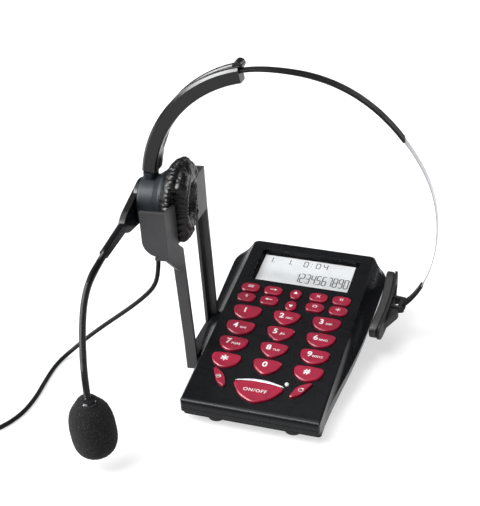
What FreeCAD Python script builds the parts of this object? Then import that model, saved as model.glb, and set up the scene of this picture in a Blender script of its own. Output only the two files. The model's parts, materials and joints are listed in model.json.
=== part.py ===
import FreeCAD, Part
import math
import os
from FreeCAD import Placement, Rotation, Vector

# Call-centre dial pad with a monaural headset resting in its side stand.
# Millimetres.  Working frame: X to the right, Y to the back, Z up, with X = 0 on the console's middle
# plane, Y = 0 at the front edge of its key panel and Z = 0 on the table.  Everything is moved by
# TO_ORIGIN at the end, so that the origin is under the middle of the object.

# ---------------------------------------------------------------- driving dimensions
TO_ORIGIN = Vector(0.55, -48.83, 0)

# Console case.  Heights in the case are measured from the key panel, square to it.
TILT = 8.0
PANEL_LIFT = 17.5
PANEL_HALF = 41.0
PANEL_LENGTH = 158.5
RIM_FLARE = 9.7
RIM_BACK = 2.5
RIM_HEIGHT = -7.0
SEAM_HEIGHT = -8.3
BASE_HEIGHT = -15.5
TIER_SETBACK = 4.0
TOP_WALL = 2.2
SIDE_WALL = 2.4
FLOOR_WALL = 2.0
HUMP_HALF = 33.5
HUMP_FRONT, HUMP_BACK = 76.0, 152.5
HUMP_LEVEL = 2.0

# Display
DISPLAY_HALF = 32.5
DISPLAY_FRONT, DISPLAY_BACK = 117.5, 150.0
DISPLAY_DEPTH = 3.0

# Keys
KEY_GAP = 0.3
KEY_PROUD = 1.5
KEY_BEVEL = 0.5
KEY_TRAVEL = 1.0
DIAL_WIDTH, DIAL_DEPTH = 17.8, 12.8
DIAL_COLUMNS = (-25.0, 0.0, 25.0)
DIAL_ROWS = (83.9, 68.8, 53.7, 38.6)
SOFT_WIDTH, SOFT_DEPTH = 11.5, 8.0
SOFT_COLUMNS = (-29.3, -14.6, 14.6, 29.3)
SOFT_ROWS = (107.5, 97.5)
ARROW_WIDTH, ARROW_DEPTH = 6.5, 9.0
BOARD_TOP = -7.0
MAT_TOP = -6.2
DOME_TOP = -5.7
STEM_END = DOME_TOP + KEY_TRAVEL + 0.05

# Side stand, in its own frame: S across (0 is its right face), Y to the back, Z up along the arms
STAND_FOOT = Vector(-44.5, 0, 12)
STAND_LEAN = 3.7
HEAD_WIDTH = 14.8
HEAD_TOP = 116.0
STAND_WALL = 1.8
ARM_WIDTH = 6.8
STAND_LOW = -3.0
CRADLE_FLOOR = 88.2
FRONT_HEAD = (15.3, 32.5)
REAR_HEAD = (66.5, 84.0)

# Ear cup, in the stand's frame; its axis lies along S
CUP_Y, CUP_Z = 49.6, 106.0
CUSHION_RADIUS, CUSHION_HOLE = 24.5, 9.5
CUSHION_BACK, CUSHION_FRONT = -11.2, 2.8
CUSHION_RISE, CUSHION_TURN = 1.6, 3.3
HOUSING_RADIUS = 18.6
HOUSING_BACK, HOUSING_FRONT = -15.0, -9.2
HUB_RADIUS = 15.5
HUB_BACK = -24.7
BOOM_FACE, BOOM_BACK = -25.0, -28.6
BOOM_DISC = 13.0
RUNNING_GAP = 0.06

# Headband: an arm in the plane Y = BAND_Y, with a springy strip that slides in it
BAND_Y = 49.6
ARM_CENTRE = Vector(-1.2, BAND_Y, 129.8)
ARM_OUTER, ARM_INNER = 75.2, 66.8
ARM_FOOT_ANGLE, ARM_END_ANGLE = 175.2, 104.5
ARM_DEPTH = 8.0
SWIVEL = Vector(-72.0, BAND_Y, 135.9)
STRIP_RADIUS = 72.8
STRIP_START_ANGLE = 114.0
STRIP_LEAVES_ANGLE = 90.0
CHANNEL_ANGLE = 131.0
RIDGE_SHIFT = Vector(-0.4, 0, 4.9)
STRIP_ROUTE = (
    Vector(20.0, 58.2, 197.5),
    Vector(45.6, 72.7, 180.0),
    Vector(64.0, 86.5, 155.5),
    Vector(77.6, 99.3, 126.5),
    Vector(83.8, 110.0, 93.0),
    Vector(80.6, 114.6, 58.2),
    Vector(70.2, 116.0, 36.2),
)
SLEEVE_SPANS = 3

# T-bar at the far end of the strip, in its own frame: along the bar, up, outward
TEMPLE_CENTRE = Vector(52.0, 119.0, 28.0)
TEMPLE_SLOPE = 17.0
TEMPLE_YAW = -1.8
TEMPLE_HALF = 27.0
TEMPLE_PIVOT = Vector(0, 2.4, 13.6)

# Microphone boom, in the plane S = BOOM_S: (Y, Z) along it
BOOM_S = -26.6
BOOM_SLEEVE_END = (-9.0, 101.6)
GOOSENECK_RADIUS = 1.75
GOOSENECK_ROUTE = ((-28.3, 98.9), (-39.4, 91.2), (-45.6, 79.3), (-49.4, 65.2), (-51.6, 50.5), (-51.4, 36.5))
FOAM_CENTRE = (-50.2, 16.6)
FOAM_HALF_WIDTH, FOAM_HALF_HEIGHT = 12.9, 16.6

# Headset cord
CORD_RADIUS = 1.35
CORD_LENGTH = 1500.0
CORD_EXIT_S = -19.6
RELIEF_LENGTH = 6.0
RELIEF_TIP = Vector(CORD_EXIT_S, CUP_Y, CUP_Z - HUB_RADIUS - RELIEF_LENGTH)
CORD_ROUTE = (
    Vector(-69.1, 49.6, 83.0),
    Vector(-69.7, 49.6, 70.0),
    Vector(-71.6, 49.6, 61.0),
    Vector(-76.8, 49.6, 53.2),
    Vector(-88.5, 49.6, 41.4),
    Vector(-105.5, 49.7, 26.4),
    Vector(-119.5, 49.8, 13.2),
    Vector(-128.0, 48.2, 4.6),
    Vector(-132.4, 42.0, 1.4),
    Vector(-133.4, 31.0, 1.4),
    Vector(-132.4, 15.5, 1.4),
    Vector(-130.7, -1.5, 1.4),
    Vector(-131.6, -19.0, 1.4),
    Vector(-137.6, -34.0, 1.4),
    Vector(-147.3, -44.9, 1.4),
    Vector(-157.3, -52.6, 1.4),
)
# The coil turns clockwise from the route's last point, and the plug lies on top of it
COIL_CENTRE = Vector(-168.2, -36.5, 0)
COIL_ENTRY = -56.0
COIL_MID_RADIUS = 15.0
TURN_PITCH = 2.72
TURNS_ACROSS = 3.25
COIL_LAYERS = 4
LEAD_TURN = 210.0
PLUG_RADIUS, PLUG_YAW = 15.4, 15.0

# ---------------------------------------------------------------- frames
CONSOLE = Placement(Vector(0, 0, PANEL_LIFT), Rotation(Vector(1, 0, 0), TILT))
STAND = Placement(STAND_FOOT, Rotation(Vector(0, 1, 0), -STAND_LEAN))
X_AXIS, Y_AXIS, Z_AXIS = Vector(1, 0, 0), Vector(0, 1, 0), Vector(0, 0, 1)


def temple_frame():
    """Frame of the T-bar: x along the bar towards its raised end, y up across it, z outward."""
    slope = math.radians(TEMPLE_SLOPE)
    along = Vector(0, math.cos(slope), math.sin(slope))
    up = Vector(0, -math.sin(slope), math.cos(slope))
    yaw = Rotation(Z_AXIS, TEMPLE_YAW)
    return Placement(TEMPLE_CENTRE, yaw.multiply(Rotation(along, up, X_AXIS, "XYZ")))


# ---------------------------------------------------------------- small helpers
def line(start, end):
    return Part.LineSegment(start, end).toShape()


def arc(start, middle, end):
    return Part.Arc(start, middle, end).toShape()


def block(low, high):
    size = high - low
    return Part.makeBox(size.x, size.y, size.z, low)


def prism(wire, travel):
    return Part.Face(wire).extrude(travel)


def union(shapes):
    """One solid out of touching or overlapping ones, with its coplanar faces joined."""
    return shapes[0].multiFuse(shapes[1:]).removeSplitter()


def rounded_wire(corners):
    """Closed wire through (corner, radius) pairs; a radius of 0 leaves the corner sharp."""
    turns = []
    for index, (corner, radius) in enumerate(corners):
        back = (corners[index - 1][0] - corner).normalize()
        ahead = (corners[(index + 1) % len(corners)][0] - corner).normalize()
        half = back.getAngle(ahead) / 2
        reach = radius / math.tan(half)
        middle = corner + (back + ahead).normalize() * (radius / math.sin(half) - radius)
        turns.append((corner + back * reach, middle, corner + ahead * reach))
    edges = []
    for index, (start, middle, end) in enumerate(turns):
        if corners[index][1] > 0:
            edges.append(arc(start, middle, end))
        following = turns[(index + 1) % len(turns)][0]
        if end.distanceToPoint(following) > 1e-6:
            edges.append(line(end, following))
    return Part.Wire(edges)


def side_wire(corners, across=0.0):
    """Rounded outline in a plane of constant x, from (y, z, radius) triples."""
    return rounded_wire([(Vector(across, y, z), radius) for y, z, radius in corners])


def front_wire(corners, depth=0.0):
    """Rounded outline in a plane of constant y, from (x, z, radius) triples."""
    return rounded_wire([(Vector(x, depth, z), radius) for x, z, radius in corners])


def flat_wire(corners, height=0.0):
    """Rounded outline in a plane of constant z, from (x, y, radius) triples."""
    return rounded_wire([(Vector(x, y, height), radius) for x, y, radius in corners])


def rounded_rectangle(half, front, back, radius, height=0.0):
    corners = [(-half, front, radius), (half, front, radius), (half, back, radius), (-half, back, radius)]
    return flat_wire(corners, height)


def turned(corners):
    """Solid turned about the cup's axis, from (radius, s, corner radius) triples in the stand's frame."""
    outline = [(Vector(s, CUP_Y, CUP_Z + radius), corner) for radius, s, corner in corners]
    return Part.Face(rounded_wire(outline)).revolve(Vector(0, CUP_Y, CUP_Z), X_AXIS, 360)


def rounded_path(points):
    """Straight runs joined by tangent arcs, each as large as its two runs allow."""
    edges, radii = [], []
    start = points[0]
    for before, corner, after in zip(points, points[1:], points[2:]):
        back, ahead = before - corner, after - corner
        reach = 0.45 * min(back.Length, ahead.Length)
        half = back.getAngle(ahead) / 2
        radius = reach * math.tan(half)
        into, out = corner + back.normalize() * reach, corner + ahead.normalize() * reach
        middle = corner + (back + ahead).normalize() * (radius / math.sin(half) - radius)
        edges.extend((line(start, into), arc(into, middle, out)))
        radii.append(radius)
        start = out
    edges.append(line(start, points[-1]))
    return Part.Wire(edges), radii


def tube(points, radius):
    """Round tube along a rounded path, with its length and the radii of its bends."""
    path, radii = rounded_path(points)
    start = Part.Circle(points[0], points[1] - points[0], radius).toShape()
    solid = path.makePipeShell([Part.Wire([start])], True, False)
    return solid, path.Length, radii


# ---------------------------------------------------------------- console case
def case_wire(flare, height, front=0.0, inset=0.0):
    """Outline of the case at one height: a flare of 0 is the key panel, 1 is the rim."""
    half = PANEL_HALF - inset
    front = front + inset
    back = PANEL_LENGTH + RIM_BACK * flare - inset
    nose = 2.0
    corner = 3.0 + 17.0 * flare
    wide = half + RIM_FLARE * flare
    shoulder = back - corner
    belt = 14.0
    growth = ((0, 0), (0.15, 0.2), (0.386, 0.61), (0.717, 0.9), (1, 1))
    quarter = math.sqrt(0.5)

    def half_side(sign):
        points = []
        for along, out in growth:
            x = half + (wide - half) * out
            points.append(Vector(sign * x, belt + along * (shoulder - belt), height))
        curve = Part.BSplineCurve()
        curve.interpolate(points)
        return curve.toShape()

    def corner_arc(sign, x, y, radius, rise):
        centre_x, centre_y = x - radius, y - rise * radius
        middle = Vector(sign * (centre_x + radius * quarter), centre_y + rise * radius * quarter, height)
        return arc(Vector(sign * x, centre_y, height), middle, Vector(sign * centre_x, y, height))

    edges = [line(Vector(nose - half, front, height), Vector(half - nose, front, height))]
    for sign in (1, -1):
        edges.append(corner_arc(sign, half, front, nose, -1))
        edges.append(line(Vector(sign * half, front + nose, height), Vector(sign * half, belt, height)))
        edges.append(half_side(sign))
        edges.append(corner_arc(sign, wide, back, corner, 1))
        if sign == 1:
            edges.append(line(Vector(wide - corner, back, height), Vector(corner - wide, back, height)))
    return Part.Wire(Part.__sortEdges__(edges))


def upper_case(keys):
    top = Part.makeLoft([case_wire(0, 0, inset=0.8), case_wire(0, -0.8)], True, True)
    slope = Part.makeLoft([case_wire(0, -0.8), case_wire(0.32, -4.0), case_wire(1, RIM_HEIGHT)], True)
    skirt = Part.makeLoft([case_wire(1, RIM_HEIGHT), case_wire(0.97, SEAM_HEIGHT)], True, True)
    case = union([top, slope, skirt])
    nose = side_wire([(0, 0, 3.0), (200, 0, 0), (200, -40, 0), (0, -40, 0)], -80)
    case = case.common(prism(nose, Vector(160, 0, 0)))
    roof = case_wire(0, -TOP_WALL, TIER_SETBACK, SIDE_WALL)
    mouth = case_wire(0.9, SEAM_HEIGHT, TIER_SETBACK, SIDE_WALL)
    case = case.cut(Part.makeLoft([roof, mouth], True, True))
    low = Vector(-DISPLAY_HALF - 2, DISPLAY_FRONT - 2, -DISPLAY_DEPTH - 2)
    case = case.fuse(block(low, Vector(DISPLAY_HALF + 2, DISPLAY_BACK + 2, -TOP_WALL)))
    for x, y in screw_places():
        case = case.fuse(Part.makeCylinder(3.0, -TOP_WALL + 9.6, Vector(x, y, -9.6)))
        case = case.cut(Part.makeCylinder(1.25, 5.4, Vector(x, y, -9.6)))
    display = rounded_rectangle(DISPLAY_HALF, DISPLAY_FRONT, DISPLAY_BACK, 1.0, -9)
    cutters = [prism(display, Vector(0, 0, 12))]
    cutters.append(block(Vector(-60, -1, -5.8), Vector(60, 0.5, -5.3)))
    cutters.append(Part.makeCylinder(1.3, 10, Vector(15.4, 27, -6)))
    for wire, _ in keys.values():
        hole = wire.makeOffset2D(KEY_GAP)
        hole.translate(Vector(0, 0, -5))
        cutters.append(prism(hole, Vector(0, 0, 8)))
    trim = trim_wire(0.05)
    trim.translate(Vector(0, 0, -0.6))
    cutters.append(prism(trim, Vector(0, 0, 2)))
    return case.cut(cutters).removeSplitter()


def screw_places():
    return [(sign * x, y) for sign in (-1, 1) for x, y in ((32.5, 12.5), (37.6, 133.0))]


def level(y, z):
    """A point of the working frame's middle plane, in the console's frame."""
    return CONSOLE.inverse().multVec(Vector(0, y, z))


def upright(shape):
    """A shape drawn in the working frame, moved into the console's frame."""
    moved = shape.copy()
    moved.Placement = CONSOLE.inverse().multiply(moved.Placement)
    return moved


def battery_bay():
    cover = block(Vector(-27, 94, HUMP_LEVEL - 1), Vector(27, 134, HUMP_LEVEL + 1.6))
    bay = block(Vector(-24, 96, HUMP_LEVEL), Vector(24, 132, 14.2))
    return cover.fuse(bay)


def jack_block(x, back=HUMP_BACK):
    return block(Vector(x - 6, HUMP_BACK - 13, 6), Vector(x + 6, back, 18))


def lower_case():
    rim = case_wire(0.97, SEAM_HEIGHT, TIER_SETBACK)
    wall = case_wire(0.86, BASE_HEIGHT + 1.6, TIER_SETBACK)
    sole = case_wire(0.82, BASE_HEIGHT, TIER_SETBACK, 1.6)
    tray = union([Part.makeLoft([rim, wall], True, True), Part.makeLoft([wall, sole], True, True)])
    hump = []
    for point, radius in (
        (Vector(0, HUMP_FRONT - 6, BASE_HEIGHT + 1), 0),
        (level(HUMP_FRONT + 10, HUMP_LEVEL), 6),
        (level(HUMP_BACK, HUMP_LEVEL), 4),
        (Vector(0, HUMP_BACK, BASE_HEIGHT + 1), 0),
    ):
        hump.append((Vector(-HUMP_HALF, point.y, point.z), radius))
    tray = union([tray, prism(rounded_wire(hump), Vector(2 * HUMP_HALF, 0, 0))])
    mouth = case_wire(0.87, SEAM_HEIGHT, TIER_SETBACK, SIDE_WALL)
    floor = case_wire(0.76, BASE_HEIGHT + FLOOR_WALL, TIER_SETBACK, SIDE_WALL)
    tray = tray.cut(Part.makeLoft([mouth, floor], True, True))
    for x, y in screw_places():
        tray = tray.fuse(Part.makeCylinder(3.0, -9.6 - BASE_HEIGHT - 1, Vector(x, y, BASE_HEIGHT + 1)))
        tray = tray.cut(Part.makeCylinder(1.4, 12, Vector(x, y, BASE_HEIGHT - 3)))
        tray = tray.cut(Part.makeCylinder(2.4, 3, Vector(x, y, BASE_HEIGHT - 1)))
    outside = HUMP_BACK + 2
    cutters = [upright(battery_bay()), upright(jack_block(-16, outside)), upright(jack_block(16, outside))]
    return tray.cut(cutters).removeSplitter()


def case_screws():
    screws = []
    for x, y in screw_places():
        head = Part.makeCylinder(2.3, 1.4, Vector(x, y, BASE_HEIGHT + 0.6))
        shank = Part.makeCylinder(1.2, 9.0, Vector(x, y, BASE_HEIGHT + 2.0))
        screws.append(head.fuse(shank).removeSplitter())
    return Part.makeCompound(screws)


def feet(case):
    """Round rubber pads, two under the front and two under the hump."""
    pads = []
    for x, y in ((-23, 14), (23, 14), (-26, 142), (26, 142)):
        pad = Part.makeCylinder(5, 7, Vector(x, y, 0))
        if y > HUMP_FRONT:
            pad = Part.makeCylinder(5, HUMP_LEVEL, Vector(x, y, 0))
        pads.append(lowest(pad.cut(case)))
    return Part.makeCompound(pads)


def jack(x, socket_width):
    """Modular socket: a block with a stepped mouth that opens to the back."""
    body = jack_block(x)
    half = socket_width / 2
    mouth = block(Vector(x - half, HUMP_BACK - 11, 9.4), Vector(x + half, HUMP_BACK + 1, 16.2))
    latch = block(Vector(x - 1.7, HUMP_BACK - 11, 7.6), Vector(x + 1.7, HUMP_BACK + 1, 9.6))
    return body.cut([mouth, latch])


def battery_cover():
    cover = block(Vector(-27, 94, HUMP_LEVEL), Vector(27, 134, HUMP_LEVEL + 1.6))
    grip = [block(Vector(-7, y, 0), Vector(7, y + 0.8, HUMP_LEVEL + 0.5)) for y in (98, 100, 102)]
    return cover.cut(grip)


def batteries():
    """Three AAA cells side by side, each with its button on the right."""
    cells = []
    for y in (102, 114, 126):
        can = Part.makeCylinder(5.2, 43.5, Vector(-22.2, y, 9.0), X_AXIS)
        button = Part.makeCylinder(1.9, 1.0, Vector(21.3, y, 9.0), X_AXIS)
        cells.append(can.fuse(button))
    return Part.makeCompound(cells)


# ---------------------------------------------------------------- display, board and keys
def display_window():
    wire = rounded_rectangle(DISPLAY_HALF - 0.05, DISPLAY_FRONT + 0.05, DISPLAY_BACK - 0.05, 1.0)
    wire.translate(Vector(0, 0, -DISPLAY_DEPTH - 0.8))
    return prism(wire, Vector(0, 0, 0.8))


def lcd_panel():
    wire = rounded_rectangle(DISPLAY_HALF - 0.1, DISPLAY_FRONT + 0.1, DISPLAY_BACK - 0.1, 1.0)
    wire.translate(Vector(0, 0, BOARD_TOP))
    return prism(wire, Vector(0, 0, -DISPLAY_DEPTH - 0.8 - BOARD_TOP))


def main_board():
    board = prism(rounded_rectangle(36.8, 8, 152, 2), Vector(0, 0, -1.6))
    board.translate(Vector(0, 0, BOARD_TOP))
    return board.cut([Part.makeCylinder(3.2, 12, Vector(x, y, -14)) for x, y in screw_places()])


def key_mat(keys):
    """Rubber sheet with one low dome, at its pressed height, under every key."""
    mat = prism(rounded_rectangle(35.8, 9, 114, 2), Vector(0, 0, MAT_TOP - BOARD_TOP))
    mat.translate(Vector(0, 0, BOARD_TOP))
    holes = [Part.makeCylinder(3.4, 12, Vector(x, y, -14)) for x, y in screw_places()]
    rise = DOME_TOP - MAT_TOP
    domes = [Part.makeCone(2.8, 2.1, rise, centre + Z_AXIS * MAT_TOP) for _, centre in keys.values()]
    return mat.cut(holes).multiFuse(domes)


def dial_wire(x, y, full):
    """Key outline: a slightly bowed top, round shoulders and flanks that run down to a blunt point."""
    half, top, low = DIAL_WIDTH / 2 + 0.1, DIAL_DEPTH * 0.45, -DIAL_DEPTH * 0.65
    flank, bend, tip = ((8.3, -2.6), 8.0, 7.0) if full else ((7.6, -1.6), 9.0, 4.0)
    corners = [(-half, top - 0.75, 2.6), (0, top, 30.0), (half, top - 0.75, 2.6)]
    corners += [(flank[0], flank[1], bend), (0, low, tip), (-flank[0], flank[1], bend)]
    wire = flat_wire(corners)
    wire.translate(Vector(x, y, 0))
    return wire


def capsule_wire(x, y, width, depth, corner):
    half = width / 2
    wire = rounded_rectangle(half, -depth / 2, depth / 2, corner)
    wire.translate(Vector(x, y, 0))
    return wire


def arrow_wire(y, up):
    """Egg-shaped key, its narrow end at the front or at the back."""
    half, long = ARROW_WIDTH / 2, ARROW_DEPTH / 2
    blunt = 0.7 * up
    edges = [
        arc(Vector(-half, blunt, 0), Vector(0, long, 0), Vector(half, blunt, 0)),
        arc(Vector(half, blunt, 0), Vector(0, -long, 0), Vector(-half, blunt, 0)),
    ]
    wire = Part.Wire(edges)
    wire.translate(Vector(0, y, 0))
    return wire


def blade_wire(sign):
    """Slanted leaf-shaped key beside the main one, fuller on the side towards the middle."""
    corners = [(31.0, 32.6, 1.0), (21.6, 26.0, 10.0), (18.2, 15.2, 1.2), (25.0, 19.3, 11.0)]
    return flat_wire([(sign * x, y, radius) for x, y, radius in corners])


def shield_wire():
    """The main key: a broad shield with a bowed crown and a blunt point."""
    corners = [(-16.0, 22.6, 2.2), (0, 25.0, 30.0), (16.0, 22.6, 2.2)]
    corners += [(9.6, 12.2, 14.0), (0, 7.0, 6.0), (-9.6, 12.2, 14.0)]
    return flat_wire(corners)


def trim_wire(grow):
    """Silver crescent behind the main key."""
    ends = [Vector(sign * (14.6 + grow), 23.9, 0) for sign in (-1, 1)]
    outer = arc(ends[0], Vector(0, 27.1 + grow, 0), ends[1])
    inner = arc(ends[1], Vector(0, 25.4 - grow, 0), ends[0])
    return Part.Wire([outer, inner])


def key_table():
    """Every key's name with its outline and the place of its stem, in the console's frame."""
    keys = {}
    names = (("1", "2", "3"), ("4", "5", "6"), ("7", "8", "9"), ("star", "0", "hash"))
    for y, row in zip(DIAL_ROWS, names):
        for x, name in zip(DIAL_COLUMNS, row):
            keys["key_" + name] = (dial_wire(x, y, x != 0), Vector(x, y, 0))
    names = (("set", "out", "delete", "pause"), ("flash", "back", "hold", "bright"))
    for y, row in zip(SOFT_ROWS, names):
        for x, name in zip(SOFT_COLUMNS, row):
            keys["key_" + name] = (capsule_wire(x, y, SOFT_WIDTH, SOFT_DEPTH, 3.4), Vector(x, y, 0))
    keys["key_up"] = (arrow_wire(107.0, -1), Vector(0, 107.0, 0))
    keys["key_down"] = (arrow_wire(95.6, 1), Vector(0, 95.6, 0))
    keys["key_mute"] = (blade_wire(-1), Vector(-25.0, 23.6, 0))
    keys["key_redial"] = (blade_wire(1), Vector(25.0, 23.6, 0))
    keys["key_on_off"] = (shield_wire(), Vector(0, 17.0, 0))
    return keys


def key_cap(wire, centre):
    """Cap with a bevelled crown, a flange that holds it under the case and a stem for its dome."""
    foot = wire.copy()
    foot.translate(Vector(0, 0, -TOP_WALL - 0.3))
    shoulder = wire.copy()
    shoulder.translate(Vector(0, 0, KEY_PROUD - KEY_BEVEL))
    crown = wire.copy()
    crown.scale(1 - 2 * KEY_BEVEL / min(wire.BoundBox.XLength, wire.BoundBox.YLength), centre)
    crown.translate(Vector(0, 0, KEY_PROUD))
    skirt = prism(foot, Vector(0, 0, KEY_PROUD - KEY_BEVEL + TOP_WALL + 0.3))
    rim = wire.makeOffset2D(0.6)
    rim.translate(Vector(0, 0, -TOP_WALL - 1.0))
    flange = prism(rim, Vector(0, 0, 0.8))
    stem = Part.makeCylinder(1.6, -TOP_WALL - 0.5 - STEM_END, centre + Z_AXIS * STEM_END)
    return union([skirt, Part.makeLoft([shoulder, crown], True, True), flange, stem])


def on_off_trim():
    wire = trim_wire(0)
    wire.translate(Vector(0, 0, -0.6))
    return prism(wire, Vector(0, 0, 1.1))


def status_led():
    stalk = Part.makeCylinder(1.25, -MAT_TOP + 0.2, Vector(15.4, 27, MAT_TOP))
    return stalk.fuse(Part.makeSphere(1.25, Vector(15.4, 27, 0.2)))


# ---------------------------------------------------------------- side stand
def head_plate(front, top):
    """Upright plate with a large round lower corner."""
    corners = [(-HEAD_WIDTH, top, 0.8), (0, top, 0), (0, 85.8, 0)]
    corners += [(-4.6, 88.4, 2.0), (-HEAD_WIDTH, 90.0, 9.0)]
    return prism(front_wire(corners, front), Vector(0, STAND_WALL, 0))


def stand_front():
    """Front head and arm: plate, side wall, gusset, cradle floor and a ribbed leg."""
    front, rear = FRONT_HEAD
    wall = [(front, HEAD_TOP, 0), (rear - 0.4, 113.3, 1.0), (rear, 88.2, 0), (38.6, 83.0, 0), (39.4, 68.0, 0)]
    wall += [(34.5, 69.6, 4.0), (24.8, 77.2, 30.0), (front, 86.0, 2.0)]
    leg = [(30.5, 88.2, 0), (30.5, 86.4, 0), (37.1, 80.5, 3.0), (43.0, 17.0, 60), (44.0, STAND_LOW, 0)]
    leg += [(45.8, STAND_LOW, 0), (44.8, 17.0, 60), (39.1, 82.4, 2.0), (32.5, 88.2, 0)]
    rib = [(38.0, 82.0, 0), (44.6, 79.0, 3.0), (50.4, 14.0, 0), (50.8, STAND_LOW, 0), (45.0, STAND_LOW, 0)]
    pieces = [
        head_plate(front, HEAD_TOP),
        prism(side_wire(wall), Vector(-1.5, 0, 0)),
        block(Vector(-8, front, CRADLE_FLOOR - STAND_WALL), Vector(0, rear, CRADLE_FLOOR)),
        prism(side_wire(leg), Vector(-ARM_WIDTH, 0, 0)),
        prism(side_wire(rib, -ARM_WIDTH), Vector(STAND_WALL, 0, 0)),
    ]
    return union(pieces)


def stand_rear():
    """Rear head and arm, the mirror image in form of the front one."""
    front, rear = REAR_HEAD
    wall = [(front - 0.5, 113.4, 1.0), (rear, 113.4, 0), (rear, 86.4, 0), (front, 86.4, 0)]
    leg = [(82.2, 88.2, 0), (84.0, 88.2, 0), (87.0, 21.0, 60), (88.0, STAND_LOW, 0), (86.2, STAND_LOW, 0)]
    leg += [(85.2, 21.0, 60)]
    rib = [(83.0, 87.0, 0), (78.8, 87.0, 0), (81.5, 21.0, 60), (82.4, STAND_LOW, 0), (87.0, STAND_LOW, 0)]
    rib += [(86.0, 21.0, 60)]
    pieces = [
        head_plate(rear - STAND_WALL, 113.4),
        prism(side_wire(wall), Vector(-1.5, 0, 0)),
        block(Vector(-8, front, CRADLE_FLOOR - STAND_WALL), Vector(0, rear, CRADLE_FLOOR)),
        prism(side_wire(leg), Vector(-ARM_WIDTH, 0, 0)),
        prism(side_wire(rib, -ARM_WIDTH), Vector(STAND_WALL, 0, 0)),
    ]
    return union(pieces)


def stand_base(front, rear):
    """Crossbar that ties the two legs together and screws to the console's side."""
    bar = block(Vector(-ARM_WIDTH, 43.5, STAND_LOW), Vector(0, 88, 6.5))
    return largest(bar.cut([front, rear]))


def largest(shape):
    return max(shape.Solids, key=lambda solid: solid.Volume)


def lowest(shape):
    return min(shape.Solids, key=lambda solid: solid.CenterOfMass.z)


# ---------------------------------------------------------------- ear cup and boom
def ear_cushion():
    """Ring of soft foam over the housing's rim, pressed flat where it lies against the stand's two walls."""
    middle, reach = (CUSHION_BACK + CUSHION_FRONT) / 2, (CUSHION_FRONT - CUSHION_BACK) / 2
    radius, wide = (CUSHION_RADIUS + CUSHION_HOLE) / 2, (CUSHION_RADIUS - CUSHION_HOLE) / 2
    centre = Vector(middle, CUP_Y, CUP_Z + radius)
    section = Part.Ellipse(centre, wide, reach).toShape()
    section.rotate(centre, X_AXIS, 90)
    section.rotate(centre, Y_AXIS, 90)
    ring = Part.Face(Part.Wire([section])).revolve(Vector(0, CUP_Y, CUP_Z), X_AXIS, 360)
    ring.rotate(Vector(middle, CUP_Y, CUP_Z), Y_AXIS, CUSHION_TURN)
    ring.translate(Vector(0, 0, CUSHION_RISE))
    presses = [
        block(Vector(-1.9, 0, 60), Vector(12, FRONT_HEAD[1] + 0.3, HEAD_TOP + 0.6)),
        block(Vector(-1.9, REAR_HEAD[0] - 0.9, 60), Vector(12, 99, 114.0)),
    ]
    return ring.cut(presses + [turned(housing_outline())])


def housing_outline():
    return [
        (0, HOUSING_BACK, 0), (HUB_RADIUS + 0.4, HOUSING_BACK, 0.8), (HOUSING_RADIUS, -10.8, 1.0),
        (HOUSING_RADIUS, HOUSING_FRONT, 0), (0, HOUSING_FRONT, 0),
    ]


def cup_housing():
    """Shallow cone that carries the cushion, hollow for the speaker."""
    bowl = [(0, -13.2, 0), (15.2, -13.2, 1.0), (15.2, -8.0, 0), (0, -8.0, 0)]
    return turned(housing_outline()).cut(turned(bowl))


def speaker():
    """Driver with a domed front, behind the cushion's opening."""
    outline = [(0, -13.2, 0), (14.6, -13.2, 0.5), (14.6, -10.6, 0.5), (6.0, -10.0, 2.0), (0, -8.6, 0)]
    return turned(outline)


def cup_hub():
    """Round joint block behind the cup, with a neck that holds the headband's swivel pin."""
    outline = [(0, HUB_BACK, 0), (HUB_RADIUS, HUB_BACK, 1.5)]
    outline += [(HUB_RADIUS, HOUSING_BACK, 0), (0, HOUSING_BACK, 0)]
    hub = turned(outline)
    hub = hub.cut(Part.makeCylinder(3.0 + RUNNING_GAP, 6.4, Vector(HUB_BACK - 0.2, CUP_Y, CUP_Z), X_AXIS))
    hub.Placement = STAND
    corners = [(-3.4, -5.0, 2.5), (3.8, -5.0, 2.5), (3.8, 5.0, 2.5), (-3.4, 5.0, 2.5)]
    neck = flat_wire(corners)
    neck.translate(SWIVEL - Z_AXIS * 12)
    hub = hub.fuse(prism(neck, Vector(0, 0, 11.2)))
    hub = union([hub.cut(Part.makeCylinder(2.0 + RUNNING_GAP, 20, SWIVEL - Z_AXIS * 7))])
    hub.Placement = STAND.inverse()
    return hub.cut(block(Vector(-60, 0, 60), Vector(HUB_BACK, 99, 150)))


def boom_arm():
    """Boom root: a domed disc on the hub's axle, drawn out into a round sleeve."""
    disc = [(0, BOOM_BACK - 1.0, 0), (7.0, BOOM_BACK - 0.6, 20.0), (BOOM_DISC, BOOM_BACK + 1.0, 1.0)]
    disc += [(BOOM_DISC, BOOM_FACE, 0), (0, BOOM_FACE, 0)]
    axle = Part.makeCylinder(3.0, 6.0, Vector(BOOM_FACE - 0.5, CUP_Y, CUP_Z), X_AXIS)
    end_y, end_z = BOOM_SLEEVE_END
    slope = Vector(0, end_y - CUP_Y, end_z - CUP_Z).normalize()
    side = Vector(0, -slope.z, slope.y)
    root = Vector(BOOM_FACE, CUP_Y, CUP_Z)
    wide, narrow = 11.0, 3.4
    waist = root + slope * 40
    blade = rounded_wire([
        (root + side * wide, 0), (root - side * wide, 0),
        (waist - side * narrow, 20), (waist + side * narrow, 20)])
    blade = prism(blade, Vector(BOOM_BACK - BOOM_FACE, 0, 0))
    start = Vector(BOOM_S, waist.y, waist.z) - slope * 8
    length = Vector(BOOM_S, end_y, end_z).distanceToPoint(start)
    sleeve = Part.makeCone(3.2, 2.7, length, start, slope)
    keep = block(Vector(-40, -30, 60), Vector(BOOM_FACE, 99, 150))
    return union([turned(disc), blade, sleeve.common(keep), axle])


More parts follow.
